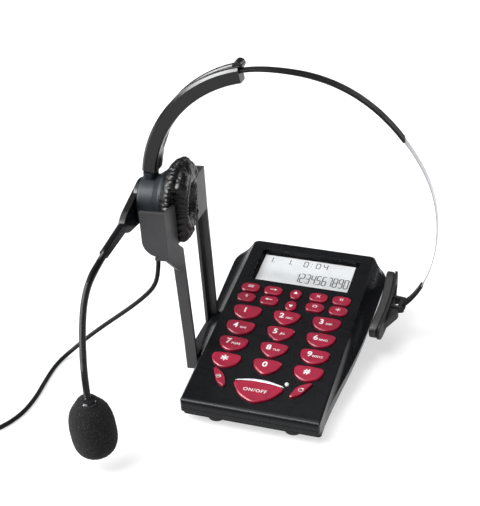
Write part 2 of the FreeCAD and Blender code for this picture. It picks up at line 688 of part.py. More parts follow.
def gooseneck():
    points = [Vector(BOOM_S, y, z) for y, z in (BOOM_SLEEVE_END,) + GOOSENECK_ROUTE]
    return tube(points, GOOSENECK_RADIUS)


def mic_capsule():
    """Small barrel on the gooseneck's end, with the microphone in it."""
    end_y, end_z = GOOSENECK_ROUTE[-1]
    body = Part.makeCylinder(4.6, 14, Vector(BOOM_S, end_y, end_z - 14))
    return body.makeChamfer(0.8, body.Edges[:1] + body.Edges[2:])


def windscreen(inner):
    """Foam egg, a little fuller below, pushed over the capsule."""
    y, z = FOAM_CENTRE
    tall = FOAM_HALF_HEIGHT
    half = FOAM_HALF_WIDTH
    edges = [
        arc(Vector(0, 0, -tall), Vector(half * 0.74, 0, -tall * 0.70), Vector(half, 0, -tall * 0.08)),
        arc(Vector(half, 0, -tall * 0.08), Vector(half * 0.70, 0, tall * 0.72), Vector(0, 0, tall)),
        line(Vector(0, 0, tall), Vector(0, 0, -tall)),
    ]
    egg = Part.Face(Part.Wire(edges)).revolve(Vector(0, 0, 0), Z_AXIS, 360)
    egg.translate(Vector(BOOM_S, y, z))
    return egg.cut(inner)


# ---------------------------------------------------------------- headband (working frame)
def on_arm(radius, angle, y):
    """A point of the arm's circle; angles run up from the right, seen from the front."""
    turn = math.radians(angle)
    return Vector(ARM_CENTRE.x + radius * math.cos(turn), y, ARM_CENTRE.z + radius * math.sin(turn))


def arm_sweep(corners, start, end):
    """Section given as (radius, y, corner radius) triples, swung about the arm's centre."""
    outline = [(on_arm(radius, start, y), corner) for radius, y, corner in corners]
    return Part.Face(rounded_wire(outline)).revolve(ARM_CENTRE, Y_AXIS, start - end)


def headband_arm():
    """Curved arm with a bevelled outer edge, a cable ridge, an end knob and its swivel pin."""
    front, back = BAND_Y - ARM_DEPTH / 2, BAND_Y + ARM_DEPTH / 2
    section = [(ARM_INNER, front, 0.8), (ARM_OUTER - 1.4, front, 0), (ARM_OUTER, front + 1.4, 0)]
    section += [(ARM_OUTER, back, 1.5), (ARM_INNER, back, 1.0)]
    bar = arm_sweep(section, ARM_FOOT_ANGLE, ARM_END_ANGLE)
    low, high, behind, before = 67.7, 71.8, back + 1.4, back - 2.6
    ridge_section = [(low, before, 0), (high, before, 2.0), (high, behind, 2.0), (low, behind, 2.0)]
    ridge = arm_sweep(ridge_section, 158.0, ARM_END_ANGLE)
    ridge.translate(RIDGE_SHIFT)
    reaches = ((ARM_FOOT_ANGLE, 3.4), (165.0, 2.4), (154.0, 0.1))
    fin = Part.makeLoft([fin_section(angle, reach) for angle, reach in reaches], True, True)
    knob = Part.makeCylinder(2.8, 7.0, on_arm(ARM_OUTER, ARM_END_ANGLE + 0.8, back - 4.6), Y_AXIS)
    pin = Part.makeCylinder(2.0, 8.0, SWIVEL - Z_AXIS * 6)
    channel = arm_sweep(strip_section(0.35), CHANNEL_ANGLE, ARM_END_ANGLE - 3)
    return union([bar, ridge, fin, knob, pin]).cut(channel)


def fin_section(angle, reach):
    back = BAND_Y + ARM_DEPTH / 2
    outer = ARM_INNER + 1.8
    places = ((ARM_INNER, back - 1), (ARM_INNER, back + reach), (outer, back + reach), (outer, back - 1))
    return Part.makePolygon([on_arm(radius, angle, y) for radius, y in places + places[:1]])


def strip_section(grow):
    half_width, half_thick = 2.5 + grow, 0.7 + grow
    return [
        (STRIP_RADIUS - half_thick, BAND_Y - half_width, 0),
        (STRIP_RADIUS + half_thick, BAND_Y - half_width, 0),
        (STRIP_RADIUS + half_thick, BAND_Y + half_width, 0),
        (STRIP_RADIUS - half_thick, BAND_Y + half_width, 0),
    ]


def strip_curve():
    """Middle line of the strip: the arm's circle first, then a free curve back to the T-bar."""
    points = []
    angle = STRIP_START_ANGLE
    while angle >= STRIP_LEAVES_ANGLE:
        points.append(on_arm(STRIP_RADIUS, angle, BAND_Y))
        angle -= 8.0
    curve = Part.BSplineCurve()
    curve.interpolate(points + list(STRIP_ROUTE))
    return curve, len(points)


def ribbon(curve, start, end, count, width, thick):
    """Flat bar along a stretch of the curve, its width kept as near to Y as the curve allows."""
    sections = []
    for index in range(count + 1):
        here = start + (end - start) * index / count
        centre = curve.value(here)
        along = curve.tangent(here)[0]
        across = (Y_AXIS - along * Y_AXIS.dot(along)).normalize() * (width / 2)
        out = along.cross(across).normalize() * (thick / 2)
        corners = (centre - across - out, centre + across - out, centre + across + out, centre - across + out)
        sections.append(Part.makePolygon(corners + corners[:1]))
    return Part.makeLoft(sections, True)


def band_pieces():
    """The steel strip, the sleeve over its first half and the tip that carries the T-bar's eye."""
    curve, fixed = strip_curve()
    places = [curve.parameter(point) for point in STRIP_ROUTE]
    first, last = curve.FirstParameter, curve.LastParameter
    seam = places[SLEEVE_SPANS - 1]
    strip = ribbon(curve, first, last, 26, 4.4, 0.5)
    sleeve = ribbon(curve, first, seam, 14, 5.0, 1.4)
    grip = places[-1] - (places[-1] - places[-2]) * 0.55
    tip = ribbon(curve, grip, last, 5, 5.4, 2.0)
    frame = temple_frame()
    pivot = frame.multVec(TEMPLE_PIVOT)
    along = frame.Rotation.multVec(X_AXIS)
    end = curve.value(last)
    heading = (pivot - end).normalize()
    across = (Y_AXIS - heading * Y_AXIS.dot(heading)).normalize() * 2.7
    out = heading.cross(across).normalize() * 1.0
    start = end - heading * 0.02
    corners = (start - across - out, start + across - out, start + across + out, start - across + out)
    shank = prism(Part.makePolygon(corners + corners[:1]), pivot - start)
    eye = Part.makeCylinder(2.4, 5.4, pivot - along * 2.7, along)
    hole = Part.makeCylinder(0.9 + RUNNING_GAP, 12, pivot - along * 6, along)
    tip = union([tip, shank, eye]).cut([hole, strip])
    return {"steel_strip": strip, "band_sleeve": sleeve.cut(strip), "strip_tip": largest(tip)}


# ---------------------------------------------------------------- T-bar (its own frame)
def bowed(inner_end, inner_rise, outer_end, outer_rise, half_length, half_height):
    """Bar with bowed inner and outer faces and round ends."""
    edges = [
        arc(Vector(-half_length, 0, inner_end), Vector(0, 0, inner_rise), Vector(half_length, 0, inner_end)),
        line(Vector(half_length, 0, inner_end), Vector(half_length, 0, outer_end)),
        arc(Vector(half_length, 0, outer_end), Vector(0, 0, outer_rise), Vector(-half_length, 0, outer_end)),
        line(Vector(-half_length, 0, outer_end), Vector(-half_length, 0, inner_end)),
    ]
    bar = Part.Face(Part.Wire(edges)).extrude(Vector(0, 2 * half_height, 0))
    bar.translate(Vector(0, -half_height, 0))
    pill = rounded_rectangle(half_length, -half_height, half_height, half_height * 0.92, -5)
    return bar.common(prism(pill, Vector(0, 0, 30)))


def temple_pad():
    return bowed(0, 2.2, 3.4, 5.6, TEMPLE_HALF - 0.6, 5.6)


def temple_bar():
    """Carrier of the pad: a bowed bar, a long bracket and two lugs with the hinge wire."""
    bar = bowed(3.4, 5.6, 5.0, 7.2, TEMPLE_HALF, 6.2)
    saddle = bowed(4.6, 6.8, 6.4, 8.6, 17.0, 3.6)
    pivot = TEMPLE_PIVOT
    wedge = rounded_wire([
        (Vector(-19, -3.2, 5.6), 0), (Vector(-4.6, -3.2, 6.0), 0),
        (Vector(-4.6, -3.2, pivot.z - 1.0), 1.0), (Vector(-7.5, -3.2, pivot.z - 1.6), 2.0)])
    pieces = [bar, saddle, prism(wedge, Vector(0, 6.4, 0))]
    for side in (-1, 1):
        x, crown = side * 3.1, pivot.z + 2.0
        lug = [(Vector(x, -2.6, 6.4), 0), (Vector(x, 2.6 + pivot.y, 6.4), 0)]
        lug += [(Vector(x, pivot.y + 2.0, crown), 1.9), (Vector(x, pivot.y - 2.0, crown), 1.9)]
        pieces.append(prism(rounded_wire(lug), Vector(side * 1.6, 0, 0)))
    pieces.append(Part.makeCylinder(0.9, 8.4, pivot - X_AXIS * 4.2, X_AXIS))
    return union(pieces)


# ---------------------------------------------------------------- cord (working frame)
def relief_end():
    """Where the cord leaves its strain relief."""
    return STAND.multVec(RELIEF_TIP)


def strain_relief(hub):
    cone = Part.makeCone(2.0, 3.0, RELIEF_LENGTH + 2, RELIEF_TIP)
    rings = []
    for step in (1.4, 2.9, 4.4):
        ring = Part.makeCylinder(3.4, 0.6, RELIEF_TIP + Z_AXIS * step)
        rings.append(ring.cut(Part.makeCylinder(2.0, 1, ring.BoundBox.Center - Z_AXIS * 0.5)))
    return cone.cut(rings + [hub])


def headset_cord():
    return tube([relief_end()] + list(CORD_ROUTE), CORD_RADIUS)


def cord_coil():
    """Outer shape of the coiled rest of the cord."""
    half_span = TURNS_ACROSS * TURN_PITCH / 2 + CORD_RADIUS
    inner, outer = COIL_MID_RADIUS - half_span, COIL_MID_RADIUS + half_span
    top = COIL_LAYERS * TURN_PITCH
    corners = [(inner, 0, 2.6), (outer, 0, 2.6), (outer, top, 2.6), (inner, top, 2.6)]
    ring = Part.Face(front_wire(corners)).revolve(Vector(0, 0, 0), Z_AXIS, 360)
    ring.translate(COIL_CENTRE)
    return ring


def cord_plug():
    """Four-way modular plug with its latch, lying on the coil where the cord's last turn ends."""
    neck = Part.makeCylinder(1.8, 4.6, Vector(0, 0, 0), Y_AXIS)
    body = block(Vector(-3.8, 4.6, -3.0), Vector(3.8, 16.6, 3.0))
    latch = side_wire([(7.0, 3.0, 0), (16.2, 3.0, 0), (16.2, 3.5, 0), (7.4, 5.0, 0.8), (6.2, 5.0, 0)], -1.5)
    plug = union([neck, body, prism(latch, Vector(3, 0, 0))])
    turn = COIL_ENTRY - 360 * TURNS_ACROSS * COIL_LAYERS - LEAD_TURN
    place = Vector(PLUG_RADIUS, 0, COIL_LAYERS * TURN_PITCH + 3.0)
    place = Rotation(Z_AXIS, turn).multVec(place) + COIL_CENTRE
    plug.Placement = Placement(place, Rotation(Z_AXIS, turn - 180 - PLUG_YAW))
    return plug


# ---------------------------------------------------------------- the whole object
def build():
    """Every node's shape in the working frame."""
    keys = key_table()
    console = {
        "upper_case": upper_case(keys),
        "lower_case": lower_case(),
        "case_screws": case_screws(),
        "display_window": display_window(),
        "lcd_panel": lcd_panel(),
        "main_board": main_board(),
        "key_mat": key_mat(keys),
        "on_off_trim": on_off_trim(),
        "status_led": status_led(),
    }
    for name, (wire, centre) in keys.items():
        console[name] = key_cap(wire, centre)
    front, rear = stand_front(), stand_rear()
    base = stand_base(front, rear)
    hub = cup_hub()
    neck, neck_length, neck_radii = gooseneck()
    capsule = mic_capsule()
    stand = {
        "stand_front": front,
        "stand_rear": rear,
        "stand_base": base,
        "cup_housing": cup_housing(),
        "ear_cushion": ear_cushion(),
        "speaker": speaker(),
        "cup_hub": hub,
        "boom_arm": boom_arm(),
        "gooseneck": neck,
        "mic_capsule": capsule.cut(neck),
        "windscreen": windscreen([capsule, neck]),
        "strain_relief": strain_relief(hub),
    }
    temple = {"temple_pad": temple_pad(), "temple_bar": temple_bar()}
    cord, cord_length, cord_radii = headset_cord()
    coil = cord_coil()
    shapes = {"headband_arm": headband_arm(), "cord_coil": coil}
    shapes.update(band_pieces())
    for frame, pieces in ((CONSOLE, console), (STAND, stand), (temple_frame(), temple)):
        for name, shape in pieces.items():
            placed = shape.copy()
            placed.Placement = frame.multiply(placed.Placement)
            shapes[name] = placed
    shapes["headset_cord"] = largest(cord.cut([coil, shapes["strain_relief"]]))
    shapes["temple_pad"] = largest(shapes["temple_pad"].cut(shapes["temple_bar"]))
    shapes["gooseneck"] = largest(shapes["gooseneck"].cut(shapes["boom_arm"]))
    stand_all = [shapes[name] for name in ("stand_front", "stand_rear", "stand_base")]
    for name in ("upper_case", "lower_case"):
        shapes[name] = largest(shapes[name].cut(stand_all))
    shapes["feet"] = feet(shapes["lower_case"])
    shapes["line_jack"] = jack(-16, 9.8)
    shapes["headset_jack"] = jack(16, 7.9)
    shapes["battery_cover"] = battery_cover()
    shapes["batteries"] = batteries()
    shapes["cord_plug"] = cord_plug()
    print("cord length %.0f, volume over section times length %.3f" % (
        cord_length, cord.Volume / (math.pi * CORD_RADIUS ** 2 * cord_length)))
    print("cord bend radii", [round(radius, 1) for radius in cord_radii])
    print("gooseneck length %.0f, bend radii" % neck_length, [round(radius, 1) for radius in neck_radii])
    coiled = 2 * math.pi * COIL_MID_RADIUS * (TURNS_ACROSS * COIL_LAYERS + LEAD_TURN / 360)
    print("coiled length %.0f, whole cord %.0f of %.0f" % (coiled, coiled + cord_length, CORD_LENGTH))
    return shapes


def main():
    os.makedirs("parts", exist_ok=True)
    for name, shape in sorted(build().items()):
        placed = shape.copy()
        placed.translate(TO_ORIGIN)
        placed.exportStep("parts/%s.step" % name)
        box = placed.BoundBox
        print("%-16s solids %d valid %s volume %9.1f  x %7.1f %7.1f  y %7.1f %7.1f  z %6.1f %6.1f" % (
            name, len(placed.Solids), placed.isValid(), placed.Volume,
            box.XMin, box.XMax, box.YMin, box.YMax, box.ZMin, box.ZMax))


main()
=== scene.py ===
import json
import math

import bpy
from bpy.props import FloatProperty, FloatVectorProperty, IntProperty, PointerProperty
from mathutils import Matrix, Vector, noise


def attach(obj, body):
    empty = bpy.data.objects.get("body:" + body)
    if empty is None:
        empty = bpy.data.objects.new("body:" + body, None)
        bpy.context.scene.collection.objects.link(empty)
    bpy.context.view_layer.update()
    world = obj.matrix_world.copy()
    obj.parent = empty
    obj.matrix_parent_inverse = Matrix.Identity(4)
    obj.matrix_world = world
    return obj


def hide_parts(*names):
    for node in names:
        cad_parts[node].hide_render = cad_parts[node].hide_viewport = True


bl_info = {
    "name": "Dial pad and headset",
    "version": (1, 0, 0),
    "blender": (4, 5, 0),
    "location": "View3D > Sidebar > Dial Pad",
    "description": "Finishes, soft parts, cord, legends and studio of a dial pad with a headset on its stand",
    "category": "Add Mesh",
}

# Metres.  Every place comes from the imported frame: its joints give the cup's, the T-bar's and the keys'
# axes, and the console's own coordinates are millimetres across, back and up from its key panel.  The cup's
# frame starts at the press depth from the boom's joint, and the T-bar's this far below and inside its hinge.
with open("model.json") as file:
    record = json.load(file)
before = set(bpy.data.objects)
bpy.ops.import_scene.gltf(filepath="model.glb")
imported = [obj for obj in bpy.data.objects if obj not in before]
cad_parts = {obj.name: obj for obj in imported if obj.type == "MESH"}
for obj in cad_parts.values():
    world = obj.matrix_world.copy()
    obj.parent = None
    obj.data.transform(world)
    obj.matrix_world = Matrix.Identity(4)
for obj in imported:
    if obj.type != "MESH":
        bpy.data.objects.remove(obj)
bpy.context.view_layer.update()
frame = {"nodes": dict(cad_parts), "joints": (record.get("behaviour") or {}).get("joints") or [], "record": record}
JOINTS = {joint["name"]: joint for joint in frame["joints"]}
SLOTS = {part["node"]: part["material_slot"] for part in frame["record"]["subparts"]}
MM = 0.001
PANEL_EDGE = Vector((0.55, -48.83, 17.5)) * MM
KEY_TOP = 1.5
PRESS_DEPTH = 26.0
HINGE_UP, HINGE_OUT = 2.4, 13.6
LCD_LEVEL = -3.8


# ---------------------------------------------------------------- frames
def axis_of(name):
    return Vector(JOINTS[name]["axis"]).normalized()


def frame_of(x, y, z, origin):
    """Matrix with these three axes and this origin."""
    matrix = Matrix((x, y, z)).transposed().to_4x4()
    matrix.translation = origin
    return matrix


def console_frame():
    """The console's frame: x across, y to the back and z square up from the key panel."""
    up = -axis_of("key_5_press")
    across = Vector((1, 0, 0))
    return frame_of(across, up.cross(across), up, PANEL_EDGE)


def cup_frame():
    """The cup's frame: x along its axis towards the head, z up the stand, x = 0 at the cushion's press."""
    axis, up = axis_of("boom_turn"), axis_of("headset_lift")
    origin = Vector(JOINTS["boom_turn"]["pos_m"]) + axis * PRESS_DEPTH * MM
    return frame_of(axis, up.cross(axis), up, origin)


def temple_frame():
    """The T-bar's frame: x along the bar to its raised end, y up across it, z outward; origin on the pad."""
    along = axis_of("t_bar_rock")
    out = along.cross(Vector((0, 0, 1))).normalized()
    up = out.cross(along)
    origin = Vector(JOINTS["t_bar_rock"]["pos_m"]) - up * HINGE_UP * MM - out * HINGE_OUT * MM
    return frame_of(along, up, out, origin)


# ---------------------------------------------------------------- modelling helpers
def clamp(share):
    return min(1.0, max(0.0, share))


def ease(share):
    """A share from 0 to 1, eased at both ends."""
    share = clamp(share)
    return share * share * (3 - 2 * share)


def hump(distance, width):
    """1 at no distance, falling off like a bell over the width."""
    return math.exp(-(distance / width) ** 2)


def set_up(thing, **settings):
    """Sets these values on a thing and gives it back."""
    for key, value in settings.items():
        setattr(thing, key, value)
    return thing


def deselect():
    if bpy.context.mode != "OBJECT":
        bpy.ops.object.mode_set(mode="OBJECT")
    bpy.ops.object.select_all(action="DESELECT")


def pick(*pieces):
    deselect()
    for piece in pieces:
        piece.select_set(True)
    bpy.context.view_layer.objects.active = pieces[0]


def named(name):
    """The piece an operator has just added, with its name."""
    piece = bpy.context.object
    piece.name = name
    piece.data.name = name
    return piece


def spot(x, y, z=0.0, turn=0.0):
    """Matrix to a place in millimetres, turned about its upright."""
    return Matrix.Translation(Vector((x, y, z)) * MM) @ Matrix.Rotation(turn, 4, "Z")


def settle(piece, matrix=None):
    """Moves a piece by the matrix and leaves its object at the origin, its place in its mesh."""
    pick(piece)
    bpy.context.view_layer.update()
    if matrix is not None:
        piece.matrix_world = matrix @ piece.matrix_world
    bpy.ops.object.transform_apply(location=True, rotation=True, scale=True)


def modify(piece, kind, **settings):
    """Adds a modifier with these settings."""
    set_up(piece.modifiers.new(kind.lower(), kind), **settings)


def subdivide(piece, levels):
    modify(piece, "SUBSURF", levels=levels, render_levels=levels)


def finish_modifiers(piece):
    pick(piece)
    for modifier in list(piece.modifiers):
        bpy.ops.object.modifier_apply(modifier=modifier.name)


def edit_all(piece, operator, **settings):
    """Runs one edit mode operator on the whole piece."""
    pick(piece)
    bpy.ops.object.mode_set(mode="EDIT")
    bpy.ops.mesh.select_all(action="SELECT")
    operator(**settings)
    bpy.ops.object.mode_set(mode="OBJECT")


def face_out(piece):
    edit_all(piece, bpy.ops.mesh.normals_make_consistent, inside=False)


def thicken(piece, thickness):
    """Gives a sheet its thickness in millimetres, half to each side."""
    modify(piece, "SOLIDIFY", thickness=thickness * MM, offset=0)
    finish_modifiers(piece)


def smooth(piece, degrees=35):
    pick(piece)
    bpy.ops.object.shade_smooth_by_angle(angle=math.radians(degrees))


def join(name, pieces):
    pick(*pieces)
    if len(pieces) > 1:
        bpy.ops.object.join()
    return named(name)


def reshape(piece, move):
    """Moves every vertex to where the function says."""
    for vertex in piece.data.vertices:
        vertex.co = move(vertex.co.copy())
    piece.data.update()


def cover(piece, finish):
    """Gives a piece this finish and no other."""
    piece.data.materials.clear()
    piece.data.materials.append(finish_for(finish))


def dress(piece, body, slot):
    """Gives a finished piece its material and makes it ride on its body."""
    cover(piece, slot)
    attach(piece, body)


def smooth_curve(name, points, resolution):
    """A curve of one open NURBS spline with these control points."""
    data = bpy.data.curves.new(name, "CURVE")
    set_up(data, dimensions="3D", resolution_u=resolution)
    spline = data.splines.new("NURBS")
    spline.points.add(len(points) - 1)
    for place, point in zip(spline.points, points):
        place.co = (*point, 1)
    spline.order_u = 3
    spline.use_endpoint_u = True
    curve = bpy.data.objects.new(name, data)
    bpy.context.scene.collection.objects.link(curve)
    return curve


# ---------------------------------------------------------------- material helpers
def tinted(colour, share):
    return tuple(min(1.0, value * share) for value in colour)


class Finish:
    """One material with its node tree, and short ways to add nodes to it."""

    edge = 0.45  # millimetres that edges look rounded by

    def __init__(self, name, colour, roughness, share=1.0, **sockets):
        """The colour is three numbers or the name of a setting, made paler or darker by the share."""
        if isinstance(colour, str):
            colour = getattr(bpy.context.scene.dial_pad_colours, colour)
        self.base = tinted(colour, share)
        self.material = bpy.data.materials.new(name)
        self.material.use_nodes = True
        self.tree = self.material.node_tree
        self.shader = self.tree.nodes["Principled BSDF"]
        self.shader.inputs["Base Color"].default_value = (*self.base, 1)
        self.shader.inputs["Roughness"].default_value = roughness
        for socket, value in sockets.items():
            self.shader.inputs[socket.replace("_", " ")].default_value = value
        self.point = self.node("ShaderNodeTexCoord").outputs["Object"]

    def node(self, kind, **settings):
        return set_up(self.tree.nodes.new(kind), **settings)

    def link(self, start, end):
        self.tree.links.new(start, end)

    def noise(self, scale, detail=3.0, roughness=0.55, stretch=None):
        """Noise over the surface; the scale counts features to the metre."""
        made = self.node("ShaderNodeTexNoise")
        for socket, value in (("Scale", scale), ("Detail", detail), ("Roughness", roughness)):
            made.inputs[socket].default_value = value
        point = self.point
        if stretch:
            mapping = self.node("ShaderNodeMapping")
            mapping.inputs["Scale"].default_value = stretch
            self.link(point, mapping.inputs["Vector"])
            point = mapping.outputs["Vector"]
        self.link(point, made.inputs["Vector"])
        return made.outputs["Fac"]

    def cells(self, scale, feature="F1"):
        made = self.node("ShaderNodeTexVoronoi", feature=feature)
        made.inputs["Scale"].default_value = scale
        self.link(self.point, made.inputs["Vector"])
        return made.outputs["Distance"]

    def between(self, factor, low, high, start=0.35, end=0.65):
        """Numbers from low to high as the factor goes from start to end."""
        made = self.node("ShaderNodeMapRange")
        for socket, value in (("From Min", start), ("From Max", end), ("To Min", low), ("To Max", high)):
            made.inputs[socket].default_value = value
        self.link(factor, made.inputs["Value"])
        return made.outputs["Result"]

    def colour(self, factor, first, second, start=0.35, end=0.65):
        """Colours from first to second, each three numbers or a share of the finish's own colour."""
        made = self.node("ShaderNodeMix", data_type="RGBA")
        for socket, value in (("A", first), ("B", second)):
            value = value if isinstance(value, tuple) else tinted(self.base, value)
            made.inputs[socket].default_value = (*value, 1)
        self.link(self.between(factor, 0, 1, start, end), made.inputs["Factor"])
        self.link(made.outputs["Result"], self.shader.inputs["Base Color"])

    def gloss(self, factor, low, high):
        self.link(self.between(factor, low, high), self.shader.inputs["Roughness"])

    def relief(self, *layers):
        """Bump layers over slightly rounded edges: height, strength and distance in millimetres of each."""
        rounded = self.node("ShaderNodeBevel", samples=4)
        rounded.inputs["Radius"].default_value = self.edge * MM
        normal = rounded.outputs["Normal"]
        for height, strength, distance in layers:
            made = self.node("ShaderNodeBump")
            made.inputs["Strength"].default_value = strength
            made.inputs["Distance"].default_value = distance * MM
            self.link(height, made.inputs["Height"])
            self.link(normal, made.inputs["Normal"])
            normal = made.outputs["Normal"]
        self.link(normal, self.shader.inputs["Normal"])


# ---------------------------------------------------------------- finishes
def moulding(name, colour, roughness, grain, spread=1.35, **details):
    """Moulded plastic: faint cloudy colour, uneven gloss and a fine spark-eroded grain."""
    finish = Finish(name, colour, roughness, **details)
    finish.colour(finish.noise(35, 4), 1 / spread, spread)
    finish.gloss(finish.noise(140, 5, 0.65), roughness * 0.93, roughness * 1.1)
    finish.relief((finish.noise(4200, 2), grain, 0.05), (finish.noise(60, 2), 0.15, 0.2))
    return finish


def metal(name, colour, roughness, swing, brush=(1, 1, 14)):
    """Bright metal with fine drawing lines along one direction."""
    finish = Finish(name, colour, roughness, Metallic=1.0)
    lines = finish.noise(900, 4, 0.6, brush)
    finish.gloss(lines, roughness - swing, roughness + swing)
    finish.colour(finish.noise(80, 3), 0.9, 1.05)
    finish.relief((lines, 0.10, 0.02))
    return finish


def plain(name, colour, roughness, cloud=None, gloss=None, grain=None, **sockets):
    """Up to three noises, each a scale and a detail, then colours, roughnesses or a bump and its depth."""
    finish = Finish(name, colour, roughness, **sockets)
    if cloud:
        finish.colour(finish.noise(*cloud[:2]), *cloud[2:])
    if gloss:
        finish.gloss(finish.noise(*gloss[:2]), *gloss[2:])
    if grain:
        finish.relief((finish.noise(*grain[:2]), *grain[2:]))
    return finish


def board(name, colour, roughness):
    """Circuit board: patches of copper under green lacquer."""
    finish = Finish(name, colour, roughness)
    finish.colour(finish.cells(420), (0.012, 0.07, 0.03), (0.03, 0.15, 0.06), 0.2, 0.7)
    finish.relief((finish.cells(900), 0.3, 0.08))
    return finish


def leatherette(name, colour, roughness, **sockets):
    """Soft leatherette: pebble grain with fine creases, shinier where it is stretched."""
    finish = Finish(name, colour, roughness, **sockets)
    finish.colour(finish.noise(180, 4), 0.7, 1.5)
    finish.gloss(finish.noise(260, 4, 0.6), 0.24, 0.40)
    pebble = finish.cells(1500, "SMOOTH_F1")
    finish.relief((finish.noise(420, 4, 0.65), 0.35, 0.25), (pebble, 0.32, 0.10))
    return finish


def open_foam(name, colour, roughness, **sockets):
    """Open-cell foam: dark pits between paler cell walls."""
    finish = Finish(name, colour, roughness, **sockets)
    pits = finish.cells(1500)
    speckle = finish.noise(1300, 4, 0.75)
    finish.colour(speckle, 0.3, 9, 0.50, 0.74)
    finish.relief((pits, 0.9, 0.35), (speckle, 0.9, 0.35))
    return finish


def woven(name, colour, roughness, **sockets):
    """Fine woven cloth: two sets of threads crossed on the disc."""
    finish = Finish(name, colour, roughness, **sockets)
    both = finish.node("ShaderNodeMath", operation="MULTIPLY")
    for number, direction in enumerate("YZ"):
        wave = finish.node("ShaderNodeTexWave", bands_direction=direction)
        wave.inputs["Scale"].default_value = 420
        finish.link(finish.point, wave.inputs["Vector"])
        finish.link(wave.outputs["Fac"], both.inputs[number])
    finish.colour(both.outputs[0], (0.006, 0.006, 0.006), (0.03, 0.03, 0.032), 0.1, 0.7)
    finish.relief((both.outputs[0], 0.6, 0.15))
    return finish


# What makes each finish, its colour as numbers or as the name of a setting, its roughness and the rest.
RECIPES = {
    "case_black": (moulding, "case", 0.28, dict(grain=0.02, spread=1.15, Specular_IOR_Level=0.20)),
    "jack_black": (moulding, "case", 0.35, dict(grain=0.1, share=1.3)),
    "stand_grey": (moulding, "stand", 0.40, dict(grain=0.12, spread=1.2, Specular_IOR_Level=0.4)),
    "cup_black": (moulding, "cup", 0.24, dict(grain=0.06, Specular_IOR_Level=0.32)),
    "hub_grey": (moulding, "hub", 0.42, dict(grain=0.1, spread=1.25, Specular_IOR_Level=0.18)),
    "bar_grey": (moulding, "bar", 0.5, dict(grain=0.3, Specular_IOR_Level=0.15)),
    "sleeve_black": (moulding, (0.004, 0.004, 0.0045), 0.5, dict(grain=0.3, Specular_IOR_Level=0.2)),
    "trim_silver": (metal, (0.90, 0.90, 0.92), 0.41, dict(swing=0.07)),
    "cell_metal": (metal, (0.5, 0.5, 0.52), 0.35, dict(swing=0.07, brush=(14, 1, 1))),
    "screw_steel": (metal, (0.55, 0.55, 0.57), 0.325, dict(swing=0.075)),
    "spring_steel": (metal, (0.40, 0.40, 0.42), 0.26, dict(swing=0.06, brush=(1, 6, 1))),
    # Faintly translucent lacquered silicone with a soft sheen and a slightly cloudy red.
    "key_crimson": (plain, "key", 0.36, dict(
        cloud=(160, 3, 0.86, 1.14), gloss=(700, 4, 0.29, 0.42), grain=(3600, 2, 0.12, 0.04),
        Specular_IOR_Level=0.35, Coat_Weight=0.08, Coat_Roughness=0.2)),
    # Screen-printed ink, a little thin in places.
    "legend_white": (plain, (0.86, 0.85, 0.85), 0.42, dict(
        cloud=(2500, 3, (0.74, 0.72, 0.72), (0.92, 0.91, 0.91)), grain=(5000, 2, 0.2, 0.02))),
    # Thin window, mostly see-through, with a dark faint gloss.
    "window_clear": (plain, (0.02, 0.022, 0.025), 0.06, dict(gloss=(90, 3, 0.04, 0.10), Alpha=0.10)),
    # Reflective display: a pale, slightly cool sheet with the faintest tooth.
    "lcd_white": (plain, "display", 0.55, dict(cloud=(28, 2, 0.95, 1.04), grain=(6000, 1, 0.08, 0.02))),
    "lcd_ink": (plain, (0.05, 0.055, 0.06), 0.6, dict(
        cloud=(1500, 2, (0.04, 0.045, 0.05), (0.07, 0.075, 0.08)))),
    "mask_black": (plain, (0.003, 0.003, 0.0035), 0.5, dict(
        gloss=(300, 3, 0.42, 0.6), Specular_IOR_Level=0.1)),
    "board_green": (board, (0.02, 0.11, 0.045), 0.4, {}),
    "mat_rubber": (plain, (0.02, 0.02, 0.021), 0.7, dict(
        cloud=(120, 4, (0.014, 0.014, 0.015), (0.03, 0.03, 0.031)), grain=(2600, 3, 0.4, 0.06))),
    # Water-clear lens with a milky body.
    "led_clear": (plain, (0.86, 0.88, 0.86), 0.12, dict(
        cloud=(900, 2, (0.74, 0.78, 0.76), (0.94, 0.95, 0.94)), Coat_Weight=1.0, Coat_Roughness=0.05)),
    "cushion_leatherette": (leatherette, "cushion", 0.30, dict(Specular_IOR_Level=0.22)),
    "neck_rubber": (plain, (0.003, 0.003, 0.0035), 0.2, dict(
        cloud=(300, 3, (0.002, 0.002, 0.0025), (0.004, 0.004, 0.0045)), gloss=(500, 3, 0.16, 0.24),
        Specular_IOR_Level=0.4)),
    "foam_black": (open_foam, "foam", 0.95, dict(
        Sheen_Weight=0.04, Sheen_Roughness=0.6, Specular_IOR_Level=0.2)),
    "pad_black": (plain, (0.009, 0.009, 0.009), 0.45, dict(
        cloud=(200, 4, (0.006, 0.006, 0.006), (0.014, 0.014, 0.014)), grain=(3000, 3, 0.5, 0.08),
        Specular_IOR_Level=0.35, Sheen_Weight=0.04)),
    # Soft vinyl jacket with faint handling marks.
    "cord_black": (plain, (0.004, 0.004, 0.0045), 0.5, dict(
        cloud=(150, 3, (0.003, 0.003, 0.0035), (0.006, 0.006, 0.0065)), gloss=(400, 4, 0.42, 0.60),
        grain=(2500, 2, 0.15, 0.05), Specular_IOR_Level=0.15)),
    "plug_clear": (plain, (0.55, 0.56, 0.56), 0.12, dict(
        cloud=(500, 3, (0.45, 0.46, 0.46), (0.66, 0.67, 0.67)), Transmission_Weight=0.35)),
    "speaker_cloth": (woven, (0.012, 0.012, 0.013), 0.85, dict(Sheen_Weight=0.3)),
}
made_finishes = {}


def finish_for(name):
    """The material of a slot or of a finish of the scene's own, made when first asked for."""
    if name not in made_finishes:
        recipe, colour, roughness, details = RECIPES[name]
        made_finishes[name] = recipe(name, colour, roughness, **details).material
    return made_finishes[name]


